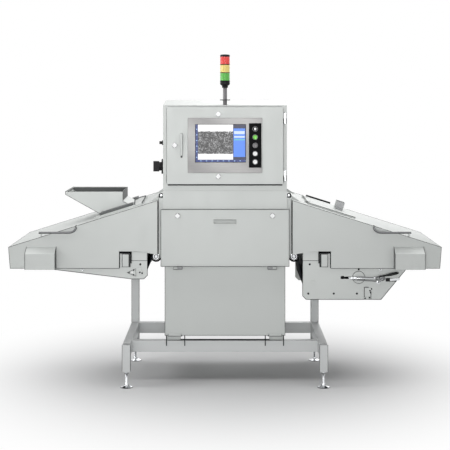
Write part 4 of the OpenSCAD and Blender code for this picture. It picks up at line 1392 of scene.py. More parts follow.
    def button(self, number: int, cap: Look) -> None:
        """Makes one push button and its ring.

        Args:
            number: The button's number, from the top.
            cap: Finish of its cap.
        """
        node = f"button_{number}"
        low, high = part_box(node)
        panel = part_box("button_panel")[0].y
        radius = (high.x - low.x) / 2
        centre = Vector(((low.x + high.x) / 2, panel, (low.z + high.z) / 2))
        rise, dish, neck = panel - low.y, 0.0011, 0.0078
        profile = [
            (0, rise - dish), (radius * 0.5, rise - dish * 0.8), (radius * 0.78, rise - dish * 0.1),
            (radius * 0.86, rise), (radius * 0.96, rise - 0.0006), (radius, rise - 0.002),
            (radius, rise - 0.0057), (neck, rise - 0.0057), (neck, panel - high.y), (0, panel - high.y),
        ]
        cored = number == 1
        base = Look.KEYPAD if cored else cap
        self.piece(Shape().lathe(profile, centre, FRONT), f"{node}_cap", self.body(node), base, node)
        if cored:
            core = Shape().lathe(
                [(0, rise + 0.0006), (radius * 0.55, rise + 0.0004), (radius * 0.66, rise - 0.0012),
                 (0, rise - 0.002)], centre, FRONT, 32,
            )
            self.piece(core, f"{node}_core", self.body(node), cap)
        ring = Shape().lathe(
            [(self.ring - inset, up) for inset, up in
             ((0.0028, 0), (0.0028, 0.0016), (0.0018, 0.0026), (0.0006, 0.0022), (0, 0.0008), (0, 0))],
            centre, FRONT,
        )
        self.piece(ring, f"{node}_ring", "cabinet_door", Look.TRIM)

    def panel_outline(self) -> None:
        """Draws the pale line round the button panel, thinner on its right."""
        low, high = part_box("button_panel")
        line = Shape()
        inset, width, rise = -0.0035, self.outline, 0.0005
        left, right = low.x + inset, high.x - inset
        for x, w in ((left, width), (right - width / 3, width / 3)):
            line.box((x, low.y - rise, low.z + inset), (x + w, low.y + rise, high.z - inset), 0.0002)
        for z in (low.z + inset, high.z - inset - width):
            line.box((left + width, low.y - rise, z), (right - width / 3, low.y + rise, z + width), 0.0002)
        self.piece(line, "panel_outline", "cabinet_door", Look.PALE_LINE)

    def isolator(self) -> None:
        """Makes the isolator's plate and knob, and the key switch."""
        self.soften(Look.BLACK, 0.003, "isolator_base")
        self.soften(Look.BLACK, 0.0025, "isolator_knob")
        low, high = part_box("isolator_base")
        inset = 0.009
        zs = (low.z + inset, high.z - inset)
        places = [(low.x, y, z) for y in (low.y + inset, high.y - inset) for z in zs]
        self.screws("isolator_screws", "stand", places, (-1, 0, 0), 0.004)
        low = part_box("key_switch")[0]
        centre = middle_of("key_switch")
        centre.x = low.x
        key = Shape.of_node(self.nodes["key_switch"]).soften(0.0012)
        key.box(centre + Vector((-0.016, -0.0012, -0.009)), centre + Vector((0.001, 0.0012, 0.009)), 0.0008)
        self.piece(key, "key_in_switch", self.body("key_switch"), Look.BLACK, "key_switch")
        ring = Shape().lathe(
            [(0.0148, 0), (0.0148, 0.004), (0.0158, 0.0052), (0.0178, 0.0042), (0.0182, 0)],
            (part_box("tunnel_housing")[0].x, centre.y, centre.z), (-1, 0, 0), 36,
        )
        self.piece(ring, "key_switch_ring", "stand", Look.POLISHED)

    def back(self) -> None:
        """Makes the louvred cover on the cabinet's back and its screws."""
        low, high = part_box("control_cabinet")
        cover = Shape().box(
            (low.x + 0.06, high.y, low.z + 0.06), (high.x - 0.06, high.y + 0.002, high.z - 0.11), 0.0008
        )
        for row in range(self.louvres):
            z = high.z - 0.16 - row * 0.024
            for x in (-0.19, 0.03):
                cover.box((x, high.y + 0.001, z), (x + 0.16, high.y + 0.009, z + 0.012), 0.004)
        self.piece(cover, "cabinet_rear_cover", "stand", Look.CABINET)
        xs = (low.x + 0.075, 0.0, high.x - 0.075)
        zs = (low.z + 0.075, (low.z + high.z) / 2, high.z - 0.125)
        places = [(x, high.y + 0.002, z) for x in xs for z in zs if x or z != zs[1]]
        self.screws("cabinet_rear_screws", "stand", places, ACROSS, 0.0055)


@dataclass
class SignalLight(Section):
    """Three-lens signal light on a mast."""

    rings: int = 5
    groove: float = 0.0012
    band: float = 0.004
    shades: tuple[tuple[str, Look], ...] = (
        ("lens_green", Look.GREEN_LENS), ("lens_amber", Look.AMBER_LENS), ("lens_red", Look.RED_LENS),
    )

    def build(self) -> None:
        """Makes the light."""
        low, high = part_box("light_base")
        radius = (high.x - low.x) / 2
        foot = Vector(((low.x + high.x) / 2, (low.y + high.y) / 2, 0))
        tall = high.z - low.z
        base = [
            (0, 0), (radius * 0.55, 0), (radius * 0.6, 0.002), (radius * 0.62, tall * 0.3),
            (radius * 0.94, tall * 0.5), (radius, tall * 0.56), (radius, tall * 0.8),
            (radius - 0.001, tall * 0.82), (radius - 0.001, tall * 0.88), (radius, tall * 0.9),
            (radius, tall), (0, tall),
        ]
        socket = Shape().lathe(base, foot + Vector((0, 0, low.z)), sides=48)
        self.piece(socket, "light_socket", "stand", Look.BLACK, "light_base")
        for node, look in self.shades:
            self.lens(node, look, foot, radius)
        low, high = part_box("light_cap")
        tall = high.z - low.z
        cap = [
            (0, 0), (radius, 0), (radius, tall * 0.5), (radius * 0.96, tall * 0.72),
            (radius * 0.8, tall * 0.92), (radius * 0.5, tall), (0, tall),
        ]
        dome = Shape().lathe(cap, foot + Vector((0, 0, low.z)), sides=48)
        self.piece(dome, "light_dome", "stand", Look.BLACK, "light_cap")
        self.soften(Look.GREY, 0.001, "light_mast")
        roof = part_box("control_cabinet")[1].z
        low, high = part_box("light_mast")
        reach = (high.x - low.x) / 2
        seat = foot + Vector((0, 0, roof - 0.001))
        rim = Shape().ring(reach - 0.002, reach + 0.001, 0, 0.0055, seat, sides=40)
        self.piece(rim, "mast_flange_rim", "stand", Look.SEAM)
        seat = foot + Vector((0, 0, roof + 0.003))
        places = [seat + 0.022 * Vector((math.cos(turn), math.sin(turn), 0)) for turn in (0.5, 2.6, 4.7)]
        self.screws("mast_screws", "stand", places, UP, 0.003)

    def lens(self, node: str, look: Look, foot: Vector, radius: float) -> None:
        """Makes one ribbed lens with the dark ring below it.

        Args:
            node: CAD node of the lens.
            look: Its finish.
            foot: Middle of the light on the floor.
            radius: Radius of the light.
        """
        low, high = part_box(node)
        bottom, top = self.band, high.z - low.z - 0.001
        profile = [(0, bottom), (radius - 0.001, bottom)]
        step = (top - bottom) / self.rings
        for i in range(self.rings):
            z = bottom + i * step
            profile += [
                (radius - self.groove, z + 0.0006), (radius, z + step * 0.3), (radius, z + step * 0.7),
                (radius - self.groove, z + step - 0.0006),
            ]
        profile += [(radius - 0.001, top), (0, top)]
        shape = Shape().lathe(profile, foot + Vector((0, 0, low.z)), sides=64)
        self.piece(shape, f"{node}_ribbed", "stand", look, node)
        ring = Shape().lathe(
            [(0, 0), (radius - 0.0006, 0), (radius + 0.0004, 0.0008), (radius + 0.0004, self.band - 0.0008),
             (radius - 0.0006, self.band), (0, self.band)], foot + Vector((0, 0, low.z)), sides=48,
        )
        self.piece(ring, f"{node}_ring", "stand", Look.BLACK)


@dataclass
class Hood(Section):
    """Lifting hood over one end of the belt, with its pulls and its opening's fittings."""

    side: Side
    rounding: float = 0.0012
    bar_radius: float = 0.0066
    bar_inner: float = 0.910
    bar_outer: float = 1.129
    bar_height: float = 0.946
    bar_reach: float = 0.018
    bend: float = 0.020
    seal: float = 0.004
    wall: float = 0.380
    box_wall: float = 0.440
    skin: float = 0.0003
    inner: float = 0.410
    boxes: tuple[float, float] = (1.026, 1.207)
    slot_top: float = 0.8285
    slot_strips: tuple[Point, ...] = (
        (0.5685, 0.5865, 0.757), (0.6395, 0.6425, 0.729), (0.5685, 0.6425, 0.8160),
    )
    roof: Roof = Roof()

    @property
    def node(self) -> str:
        """CAD node of the hood."""
        return f"{self.side.label}_hood"

    def build(self) -> None:
        """Makes the hood."""
        self.soften(Look.BLASTED, self.rounding, self.node)
        self.pulls()
        self.seams()
        self.seals()
        self.studs()

    def pulls(self) -> None:
        """Makes the bent-rod pull, straight at its outer end and turned into the roof at its inner end."""
        sign = self.side.value
        reach, z = -self.wall - self.bar_reach, self.bar_height
        inner, outer = sign * (self.bar_inner - 0.004), sign * (self.bar_outer - 0.008)
        seat = -self.wall + 0.014
        bar = Shape().pipe(
            [(sign * self.bar_outer, reach, z), (sign * (self.bar_inner + 0.020), reach, z),
             (inner, reach, z + 0.016), (inner, seat, self.roof.height(self.bar_inner) + 0.001)],
            self.bar_radius, self.bend,
        )
        name = f"{self.node}_pulls"
        self.piece(bar, f"{name}_bent", self.node, Look.PULL, name)
        seat = -self.wall + 0.024
        drop = Shape().pipe(
            [(outer, reach, z), (outer, seat, z), (outer, seat, self.roof.height(self.bar_outer) + 0.001)],
            self.bar_radius * 0.6, self.bend * 0.5,
        )
        self.piece(drop, f"{name}_drop", self.node, Look.CABINET)

    def seams(self) -> None:
        """Draws the dark lines of the hood's folds, its roller boxes and the arm's slot, and lays painted
        shade on the roller boxes' inner sides.
        """
        sign = self.side.value
        end, eave, base = self.roof.end, self.roof.low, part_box(self.node)[0].z
        inner, (near, far), sill = self.inner, self.boxes, 0.829
        routes = []
        for face in FACES:
            y, out = face * (self.wall + self.skin), face * (self.box_wall + self.skin)
            routes.append([
                (inner, y, 0.809), (inner, y, self.roof.height(inner)), (end, y, eave),
                (end - 0.010, y, base), (far, y, base),
            ])
            routes.append([(near, y, base), (0.643, y, base), (0.643, y, sill), (0.568, y, sill)])
            for x in self.boxes:
                routes.append([(x, y, base + 0.132), (x, out, base + 0.096), (x, out, base)])
        routes.append([(end - 0.001, -self.wall, eave), (end - 0.001, self.wall, eave)])
        routes = [[(sign * x, y, z) for x, y, z in route] for route in routes]
        self.lines(f"{self.node}_seams", self.node, routes, 0.0013)
        slots, side_shades = Shape(), Shape()
        root, reach = self.wall + 0.001, self.box_wall
        outline = ((root, 0.001), (reach, 0.001), (reach, 0.0955), (root, 0.1305))
        for face in FACES:
            front, back = span(face, 0.3712, 0.3762)
            for x0, x1, bottom in self.slot_strips:
                left, right = span(sign, x0, x1)
                slots.box((left, front, bottom), (right, back, self.slot_top), 0.0004)
            # Painted shade: dark plates on the roller boxes' sides that face the machine's middle.
            side_shade = [(face * across, base + up) for across, up in outline]
            side_shades.plate(side_shade, (sign * (near - 0.0005), 0, 0), ACROSS, (0, 0, 1), 0.0008)
        self.piece(slots, f"{self.node}_slot_gaskets", self.node, Look.SEAL)
        self.piece(side_shades, f"{self.node}_box_cheeks", self.node, Look.SHADED)

    def seals(self) -> None:
        """Lays the dark seal on the hood's inner edge, which closes on the collar."""
        left, right = span(self.side.value, self.inner - self.seal, self.inner)
        seal = Shape()
        for face in FACES:
            y = face * 0.3715
            seal.box((left, y - 0.0065, 0.812), (right, y + 0.0065, 1.136), 0.0015)
        self.piece(seal, f"{self.node}_seal", self.node, Look.SEAL)

    def studs(self) -> None:
        """Puts a row of small rivets along the hood's lower edge at the back."""
        places = [(self.side.value * (0.70 + 0.095 * i), self.wall, 0.745) for i in range(4)]
        self.screws(f"{self.node}_rivets", self.node, places, ACROSS, 0.004, Look.TRIM)


@dataclass
class Hopper(Section):
    """Offset funnel on the infeed hood, with folded rims."""

    rounding: float = 0.0014
    fold: float = 0.0013
    wire: float = 0.0034
    # How far the painted shadow on the roof reaches from the middle, in front of and behind the funnel.
    flange_reach: float = 0.262
    outer: float = -0.998
    inner: float = -0.639
    half: float = 0.175
    foot_low_edge: tuple[float, float] = (-0.764, 1.028)
    foot_high_edge: tuple[float, float] = (-0.577, 1.086)
    grip: tuple[float, float] = (-0.560, -0.25)

    def build(self) -> None:
        """Makes the funnel with its dark folds, painted shade inside it, on its inner end and on the roof in
        front of and behind it, a grey sheet of painted shade on its slope, and its grip.
        """
        self.soften(Look.PLATE, self.rounding, "infeed_hopper")
        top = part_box("infeed_hopper")[1].z
        lip, knee = top - 0.019, top - 0.064
        half, outer, inner = self.half, self.outer, self.inner
        foot_outer, foot_low, foot_inner, foot_high = *self.foot_low_edge, *self.foot_high_edge
        rims = [[(x, y, top) for x, y in (
            (outer, -half), (outer, half), (inner, half), (inner, -half), (outer, -half),
        )]]
        for y in (-half, half):
            rims.append([(x, y, z) for x, z in (
                (outer, top), (outer, lip), (foot_outer, foot_low), (foot_inner, foot_high), (inner, knee),
                (inner, top),
            )])
        self.lines("hopper_folds", "infeed_hood", rims, self.fold)
        near, skin = half - 0.0036, 0.0008
        side = [
            (outer + 0.006, top - 0.002), (outer + 0.006, lip), (foot_outer + 0.016, foot_low + 0.012),
            (foot_inner - 0.010, foot_high), (inner - 0.006, knee), (inner - 0.006, top - 0.002),
        ]
        # Painted shade: dark skins inside the funnel's side walls and on both faces of its inner end.
        shade_skin = Shape()
        for y in (near, -near + skin):
            shade_skin.plate(side, (0, y, 0), ALONG, UP, skin)
        shade_skin.box((inner - 0.0052, -near, top - 0.060), (inner - 0.0040, near, top - 0.002))
        shade_skin.box((inner + 0.0001, -half + 0.001, knee + 0.001), (inner + 0.0008, half - 0.001, top - 0.001))
        roof = Roof()
        # Painted shadow of the funnel on the roof: dark bands in front of and behind it.
        band = [roof.above(foot_outer - 0.008, 0.0094), roof.above(foot_inner + 0.008, 0.0094)]
        band += [(x, z + 0.0150) for x, z in reversed(band)]
        for y in (-half, self.flange_reach):
            shade_skin.plate(band, (0, y, 0), ALONG, UP, self.flange_reach - half, 0.0006)
        self.piece(shade_skin, "hopper_liner", "infeed_hood", Look.SHADED)
        self.spout(knee)
        x, y = self.grip
        grip = Shape().pipe(
            [(x, y, roof.height(x) + 0.010), (x + 0.004, y, 1.140), (x + 0.072, y, 1.158),
             (x + 0.046, y, roof.height(x + 0.046) + 0.008)], self.wire, 0.006, 10,
        )
        self.piece(grip, "hopper_grip", "infeed_hood", Look.PULL)

    def spout(self, knee: float) -> None:
        """Lays a grey sheet of painted shade on the funnel's slope, from the height of its knee down."""
        foot_x, foot_z = self.foot_high_edge
        run = Vector((foot_x - self.inner, 0, foot_z - knee))
        near, far, half = 0.001, run.length - 0.001, self.half - 0.001
        # Painted shade: a grey sheet that darkens the up-facing slope.
        sheet = Shape().plate(
            [(near, -half), (far, -half), (far, half), (near, half)],
            (self.inner, 0, knee + 0.0008), run.normalized(), ACROSS, 0.0009,
        )
        self.piece(sheet, "hopper_spout", "infeed_hood", Look.GREY)


@dataclass
class Hatch(Section):
    """Lid with a box-shaped grip, on two hinges."""

    rounding: float = 0.0010
    inner: float = 0.512
    outer: float = 0.803
    half: float = 0.270
    lift: float = 0.0094
    grip: tuple[float, float] = (0.6980, 0.7457)
    grip_half: float = 0.040
    grip_height: float = 0.060
    roof: Roof = Roof()

    def build(self) -> None:
        """Makes the lid, its dark edges and the covers of its grip, whose dark top is painted shade."""
        self.soften(Look.BLASTED, self.rounding, "hatch_lid")
        above = self.roof.above
        route = []
        for x, y in ((self.outer, -self.half), (self.inner, -self.half), (self.inner, self.half)):
            edge_x, edge_z = above(x, self.lift)
            route.append((edge_x, y, edge_z))
        self.lines("hatch_edges", "hatch_lid", [route], 0.0016)
        lip = [above(x, self.lift + 0.003) for x in (0.534, 0.694)]
        self.lines("hatch_back_lip", "hatch_lid", [[(x, self.half, z) for x, z in lip]], 0.0070, Look.SEAL)
        near, far = self.grip
        high_near, high_far = above(near, self.grip_height), above(far, self.grip_height)
        outline = [above(near, self.lift), above(far, self.lift), high_far, high_near]
        sides = Shape()
        for y in (-self.grip_half, self.grip_half + 0.001):
            sides.plate(outline, (0, y, 0), ALONG, UP, 0.001, 0.0003)
        across = Vector((high_far[0] - high_near[0], 0, high_far[1] - high_near[1]))
        wide, half = across.length, self.grip_half
        top = Shape().plate(
            [(0, -half), (wide, -half), (wide, half), (0, half)],
            (high_near[0], 0, high_near[1]), across.normalized(), ACROSS, 0.0009,
        )
        self.piece(sides, "hatch_grip_sides", "hatch_lid", Look.TRIM)
        # The grip's dark top is painted shade.
        self.piece(top, "hatch_grip_top", "hatch_lid", Look.SEAM)


@dataclass
class Conveyor(Section):
    """Belt with its rollers, side plates and fasteners."""

    rounding: float = 0.0014
    pad_radius: float = 0.0365
    cap_radius: float = 0.0135
    bolt: float = 0.0065
    hook: float = 0.0028
    hook_height: float = 0.717
    ear: float = 0.308
    bracket: tuple[float, float] = (-0.562, 0.700)
    rollers: tuple[str, ...] = (
        "infeed_roller", "outfeed_roller", "tension_roller", "outfeed_lower_roller", "infeed_lower_roller",
    )
    snub_rollers: tuple[str, ...] = ("outfeed_snub_roller", "infeed_snub_roller")

    def build(self) -> None:
        """Makes the conveyor."""
        self.soften(Look.PLATE, self.rounding, "conveyor_plates")
        self.outlines()
        self.soften(Look.TRIM, 0.0006, "slider_bed")
        self.dress(Look.BELT, "belt")
        for name in (*self.rollers, *self.snub_rollers):
            self.roller(name, Look.SEAL if "lower" in name or name == "outfeed_roller" else Look.POLISHED)
        self.bearings()
        self.fasteners()
        self.brackets()
        self.hooks()

    def axis(self, node: str) -> Vector:
        """Middle of a roller, halfway across the machine."""
        middle = middle_of(node)
        return Vector((middle.x, 0, middle.z))

    def roller(self, node: str, look: Look) -> None:
        """Makes one roller with rounded ends and stepped journals.

        Args:
            node: CAD node of the roller.
            look: Its finish.
        """
        low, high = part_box(node)
        radius = (high.z - low.z) / 2
        shaft, face, end = 0.010, 0.285, high.y
        step = min(0.018, radius * 0.7)
        profile = [
            (0, -end), (shaft - 0.001, -end), (shaft, -end + 0.001), (shaft, -face - 0.002),
            (step, -face - 0.002), (step, -face), (radius - 0.004, -face), (radius, -face + 0.004),
        ]
        profile += [(r, -y) for r, y in reversed(profile)]
        turned = Shape().lathe(profile, self.axis(node), ACROSS, 56)
        self.piece(turned, f"{node}_turned", self.body(node), look, node)

    def bearings(self) -> None:
        """Puts flanged bearings on the plates at each roller, and on the collars' ears, with painted shadow
        under the ears' bearings.
        """
        caps, rings, snubs, shade_arcs, hubs = Shape(), Shape(), Shape(), Shape(), Shape()
        for name in self.rollers:
            padded = name == "tension_roller"
            wide = self.pad_radius if padded else self.cap_radius
            for face in FACES:
                seat, axis = self.axis(name) + Vector((0, face * -PLATE_FRONT, 0)), (0, face, 0)
                caps.lathe([(0, 0.0024), (wide * 0.96, 0.0024), (wide, 0.0012), (wide, 0)], seat, axis, 44)
                if padded:
                    rim = wide + 0.0022
                    rings.lathe([(wide, 0), (wide, 0.0018), (rim, 0.0018), (rim, 0)], seat, axis, 44)
        bore, reach = 0.0104, 0.029
        turns = [math.radians(200 + 20 * step) for step in range(8)]
        arc = [(reach * math.cos(turn), reach * math.sin(turn)) for turn in turns]
        for name in reversed(self.snub_rollers):
            for face in FACES:
                seat, axis = self.axis(name) + Vector((0, face * self.ear, 0)), (0, face, 0)
                snubs.lathe(
                    [(bore, 0), (bore, 0.003), (0.017, 0.0045), (0.020, 0.0035), (0.021, 0)], seat, axis, 36
                )
                # Dark arc under each ear's bearing: painted shadow.
                shade_arcs.pipe([seat + Vector((x, -face * 0.002, z)) for x, z in arc], 0.0052, 0.001, 8)
                hubs.lathe([(bore, 0.0035), (0.0135, 0.0052), (bore, 0.0052)], seat, axis, 32)
                hubs.lathe([(0.0198, 0.0038), (0.0222, 0.0026), (0.0226, 0.0), (0.0205, 0.0)], seat, axis, 32)
        self.piece(caps, "plate_caps", "stand", Look.PLATE)
        self.piece(rings, "pad_rings", "stand", Look.SEAM)
        self.piece(snubs, "snub_bearings", "stand", Look.POLISHED)
        self.piece(shade_arcs, "snub_guards", "stand", Look.SEAL)
        self.piece(hubs, "snub_hubs", "stand", Look.SEAM)

    def outlines(self) -> None:
        """Draws the dark lines of the plates' edges, doublers and clip plate."""
        y = PLATE_FRONT - 0.0004
        shallow = [(-1.108, 0.727), (-0.568, 0.6612), (-0.494, 0.6612), (-0.4725, 0.683), (-0.4725, 0.829)]
        deep = [(1.108, 0.727), (0.950, 0.5363), (0.494, 0.5363), (0.4725, 0.558), (0.4725, 0.829)]
        doublers = [[(sign * 0.474, 0.773), (sign * 0.568, 0.773)] for sign in (-1, 1)]
        clip = [(0.874, 0.6105), (0.848, 0.6105), (0.848, 0.540)]
        clip_foot = [(0.888, 0.590), (0.888, 0.540)]
        routes = [[(x, y, z) for x, z in line] for line in (shallow, deep, *doublers)]
        routes += [[(x, y - 0.003, z) for x, z in line] for line in (clip, clip_foot)]
        self.lines("plate_outlines", "stand", routes, 0.0018)

    def fasteners(self) -> None:
        """Drives the plates' bolts and lays the doublers on them."""
        spots = (
            (0.507, 0.572), (0.662, 0.572), (0.803, 0.572), (0.516, 0.750), (0.814, 0.719), (-0.516, 0.750),
        )
        doublers = Shape()
        for face, name in ((-1, "front"), (1, "back")):
            y = face * -PLATE_FRONT
            places = [(x, y, z) for x, z in spots]
            self.screws(f"plate_bolts_{name}", "stand", places, (0, face, 0), self.bolt, Look.BLACK)
            near, far = span(face, -PLATE_FRONT, -PLATE_FRONT + 0.0015)
            for left, right in ((0.476, 0.566), (-0.566, -0.476)):
                doublers.box((left, near, 0.773), (right, far, 0.826), 0.0005)
        self.piece(doublers, "plate_doublers", "stand", Look.PLATE)

    def brackets(self) -> None:
        """Makes the three-screw bracket, the two-screw tab and the clip plate."""
        y, (x, z) = PLATE_FRONT, self.bracket
        plates = Shape()
        plates.plate(
            [(-0.034, 0.0), (0.016, 0.024), (0.020, 0.020), (0.020, -0.020), (0.016, -0.024)],
            (x, y, z), ALONG, UP, 0.003, 0.001,
        )
        plates.lathe([(0, 0.0025), (0.012, 0.0025), (0.014, 0)], (-0.512, y, z), FRONT, 28)
        plates.box((0.848, y - 0.003, 0.540), (0.888, y, 0.610), 0.001)
        plates.box((0.846, y - 0.010, 0.538), (0.874, y, 0.552), 0.002)
        self.piece(plates, "plate_brackets", "stand", Look.PLATE)
        places = [(place_x, y - out, place_z) for place_x, out, place_z in (
            (-0.584, 0.003, 0.700), (-0.556, 0.003, 0.716), (-0.556, 0.003, 0.686), (-0.518, 0.0025, 0.702),
            (-0.505, 0.0025, 0.697), (0.852, 0.010, 0.545), (0.880, 0.003, 0.548), (0.882, 0.003, 0.590),
            (0.892, 0, 0.600), (0.886, 0.003, 0.578),
        )]
        self.screws("bracket_screws", "stand", places, FRONT, 0.005, Look.BLACK)
        self.screws("bracket_stud", "stand", [(-0.566, y - 0.003, 0.701)], FRONT, 0.0065, Look.WHITE)
        corners = ((-0.034, 0.0), (0.018, 0.024), (0.020, -0.022), (-0.034, 0.0))
        line = [(x + across, y - 0.0034, z + up) for across, up in corners]
        self.lines("bracket_outline", "stand", [line], 0.0011)

    def hooks(self) -> None:
        """Bends the small wire hooks that hold the plates' covers."""
        hooks = Shape()
        y = PLATE_FRONT
        bends = (
            (-0.008, 0, 0.008), (-0.008, 0.010, 0.008), (0.002, 0.010, -0.006), (0.009, 0.010, 0),
            (0.009, 0.010, 0.010),
        )
        for x in (0.943, -0.870):
            route = [(x + across, y - out, self.hook_height + up) for across, out, up in bends]
            hooks.pipe(route, self.hook, 0.004, 12)
        self.piece(hooks, "plate_hooks", "stand", Look.POLISHED)


@dataclass
class QuickRelease(Section):
    """Toggle clamp that slackens the belt."""

    grip: float = 0.0090
    pivot: tuple[float, float] = (0.956, 0.668)

    def build(self) -> None:
        """Makes the clamp's lever, its rod and its fixed base."""
        self.lever()
        self.rod()
        self.base()

    def lever(self) -> None:
        """Makes the lever with its hub, its jaws and the dark sleeve of its grip."""
        px, pz = self.pivot
        low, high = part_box("release_lever")
        near, deep = low.y, high.y - low.y - 0.0003
        middle = near + 0.005
        lever = Shape().lathe(
            [(0, -0.002), (0.011, -0.002), (0.0165, 0), (0.0165, 0.010), (0.008, 0.010), (0.008, deep),
             (0, deep)], (px, near, pz), ACROSS, 32,
        )
        jaw = ((-0.040, -0.0028), (0.0, -0.0028), (0.016, 0.0), (0.0, 0.0028), (-0.040, 0.0028))
        for shift in (-0.0068, 0.0068):
            outline = [(x, shift + z) for x, z in jaw]
            lever.plate(outline, (px, near + 0.009, pz), ALONG, UP, 0.008, 0.0012)
        heel, knee, tip = (
            Vector((px + x, middle, pz + z)) for x, z in ((-0.056, 0.001), (-0.021, 0.008), (0.097, 0.032))
        )
        lever.pipe([heel, knee, tip], 0.0046, 0.012, 12)
        arm_y = middle - 0.004
        lever.rod((px - 0.027, arm_y, pz - 0.027), (px + 0.006, arm_y, pz - 0.002), 0.0042, 0.0006, 12)
        self.piece(lever, "toggle_lever", "release_lever", Look.PULL, "release_lever")
        outward = Vector((0, -0.0028, 0))
        start, end = knee + outward, tip + outward
        length, wide = (end - start).length, self.grip
        grip = Shape().lathe(
            [(0, 0), (wide * 0.55, 0), (wide * 0.62, 0.003), (wide * 0.66, length * 0.3),
             (wide, length * 0.62), (wide * 0.95, length * 0.88), (wide * 0.7, length * 0.98),
             (wide * 0.3, length + 0.003), (0, length + 0.004)],
            start, (end - start).normalized(), 28,
        )
        self.piece(grip, "toggle_grip", "release_lever", Look.BLACK)

    def rod(self) -> None:
        """Makes the rod with its eye and nuts, and the fork on it."""
        low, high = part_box("release_rod")
        y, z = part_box("release_lever")[0].y + 0.005, self.pivot[1]
        rod = Shape().rod((low.x + 0.007, y, z), (high.x, y, z), 0.0062, 0.001, 24)
        rod.rod((low.x + 0.0065, low.y, z), (low.x + 0.0065, high.y, z), 0.0064, 0.001, 24)
        for x in (low.x + 0.022, low.x + 0.040):
            rod.rod((x, y, z), (x + 0.009, y, z), 0.0115, 0.0014, 6)
        self.piece(rod, "toggle_rod", "release_rod", Look.POLISHED, "release_rod")
        fork = Shape()
        y -= 0.004
        for start, rise, end, fall in ((0.046, 0.0065, -0.010, 0.003), (0.020, -0.0075, 0.010, -0.0185)):
            fork.rod((low.x + start, y, z + rise), (high.x + end, y, z + fall), 0.0036, 0.0, 12)
        self.piece(fork, "toggle_fork", "release_rod", Look.PULL)

    def base(self) -> None:
        """Makes the clamp's fixed base, the dark discs that fill its slot as painted shade, and its plunger.
        """
        px, pz = self.pivot
        y = PLATE_FRONT
        base = Shape()
        # The two dark discs are painted shade: they stand for the dark inside of the slot.
        for x in (px - 0.243, px - 0.237):
            base.rod((x, y - 0.0006, pz + 0.002), (x, y + 0.001, pz + 0.002), 0.0094, 0.0, 24)
        base.box((px + 0.022, y - 0.004, pz - 0.022), (px + 0.088, y, pz - 0.002), 0.001)
        base.box((px + 0.030, y - 0.0050, pz - 0.022), (px + 0.048, y, pz - 0.001), 0.001)
        self.piece(base, "toggle_base", "stand", Look.BLACK)
        outline = [(0.048, -0.020), (0.108, -0.014), (0.108, 0.000), (0.048, -0.004)]
        plunger = Shape().plate(outline, (px, y, pz), ALONG, UP, 0.0046, 0.001)
        seat = (px - 0.026, y, pz - 0.026)
        plunger.lathe([(0, 0), (0.012, 0), (0.012, 0.004), (0.007, 0.007), (0, 0.007)], seat, FRONT, 28)
        self.piece(plunger, "toggle_plunger", "stand", Look.POLISHED)


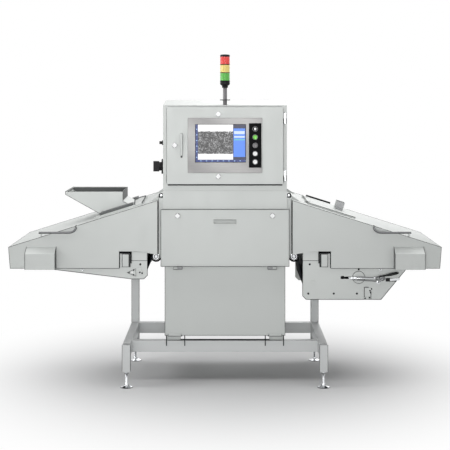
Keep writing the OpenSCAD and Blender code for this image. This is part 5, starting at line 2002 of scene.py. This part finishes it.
@dataclass
class Studio:
    """Camera at the photograph's place, pale floor and soft lamps."""

    image_width: int = 450
    focal_pixels: float = 1155.0
    sensor: float = 36.0
    sight: float = 100.0
    camera_place: tuple[float, float, float] = (0.0, -7.40, 1.781)
    horizon_row: float = 95.0
    floor_size: float = 60.0
    floor_colour: Colour = (0.76, 0.762, 0.765)
    fade_start: float = 0.5
    fade_length: float = 1.55
    sky: float = 0.12

    def camera(self) -> None:
        """Sets up the camera, level and with its frame shifted down."""
        data = bpy.data.cameras.new("camera")
        data.sensor_width = self.sensor
        data.lens = self.sensor * self.focal_pixels / self.image_width
        data.shift_y = (self.horizon_row - self.image_width / 2) / self.image_width
        data.clip_end = self.sight
        camera = bpy.data.objects.new("camera", data)
        camera.location = self.camera_place
        camera.rotation_euler = (math.pi / 2, 0, 0)
        bpy.context.scene.collection.objects.link(camera)
        bpy.context.scene.camera = camera

    def floor(self) -> None:
        """Lays the pale floor, which keeps the object's shadow and fades into the background."""
        material = bpy.data.materials.new("pale_floor")
        nodes = Nodes(material)
        reach = nodes.node("VectorMath", {"operation": "LENGTH"}, {0: nodes.place()})
        fade = nodes.node(
            "MapRange", {"interpolation_type": "SMOOTHSTEP"},
            {"Value": Value(nodes, reach.outputs["Value"]), "From Min": self.fade_start,
             "From Max": self.fade_start + self.fade_length},
        )
        seen = nodes.sum("MAXIMUM", *nodes.rays("Camera", "Glossy"))
        nodes.close(
            seen * Value(nodes, fade.outputs["Result"]),
            nodes.node("BsdfDiffuse", None, {"Color": self.floor_colour}),
            nodes.node("Emission", None, {"Color": WHITE}), "OutputMaterial",
        )
        mesh = bmesh.new()
        bmesh.ops.create_grid(mesh, x_segments=1, y_segments=1, size=self.floor_size / 2)
        data = bpy.data.meshes.new("floor")
        mesh.to_mesh(data)
        mesh.free()
        data.materials.append(material)
        floor = bpy.data.objects.new("floor", data)
        bpy.context.scene.collection.objects.link(floor)

    def world(self) -> None:
        """Lights the room softly, with a white background where the camera and gloss look."""
        world = bpy.data.worlds.new("studio")
        bpy.context.scene.world = world
        nodes = Nodes(world)
        camera, glossy, clear = nodes.rays("Camera", "Glossy", "Transmission")
        nodes.close(
            camera + glossy + clear,
            nodes.node("Background", None, {"Color": WHITE, "Strength": self.sky}),
            nodes.node("Background", None, {"Color": WHITE}), "OutputWorld",
        )

    def lamp(self, name: str, place: Point, aim: Point, size: tuple[float, float], power: float) -> None:
        """Hangs one soft lamp.

        Args:
            name: Name of the lamp.
            place: Its middle.
            aim: Point that it faces.
            size: Width and height of its panel.
            power: Power in watts.
        """
        data = bpy.data.lights.new(name, "AREA")
        data.shape = "RECTANGLE"
        data.size, data.size_y = size
        data.energy = power
        lamp = bpy.data.objects.new(name, data)
        lamp.location = place
        lamp.rotation_euler = (Vector(aim) - Vector(place)).to_track_quat("-Z", "Y").to_euler()
        bpy.context.scene.collection.objects.link(lamp)

    def build(self) -> None:
        """Sets up the camera, the floor, the world, the lamps and the colours."""
        self.camera()
        self.floor()
        self.world()
        self.lamp("overhead", (0, 0.3, 4.4), (0, 0.3, 0), (8.0, 7.0), 232)
        self.lamp("front", (-0.4, -7.4, 1.7), (0, 0, 0.8), (3.0, 2.0), 140)
        self.lamp("left", (-4.6, -1.2, 2.9), (-0.9, 0, 0.9), (2.5, 2.0), 80)
        self.lamp("behind", (1.5, 5.5, 3.5), (0, 0, 1.0), (4.0, 3.0), 60)
        bpy.context.scene.view_settings.view_transform = "Standard"


def main() -> None:
    """Builds the machine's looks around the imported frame."""
    logging.basicConfig(level=logging.INFO, format="%(name)s: %(message)s")
    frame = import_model()
    middle = middle_of("screen")
    palette = Palette((middle.x, middle.z))
    nodes = frame["nodes"]
    kinds = (Stand, LowerCabinet, Tower, ControlCabinet, SignalLight)
    sections: list[Section] = [kind(nodes, palette) for kind in kinds]
    sections += [Hood(nodes, palette, side) for side in Side]
    sections += [kind(nodes, palette) for kind in (Hopper, Hatch, Conveyor, QuickRelease)]
    for section in sections:
        LOG.info("building %s", type(section).__name__)
        section.build()
    Studio().build()


if __name__ == "__main__":
    main()
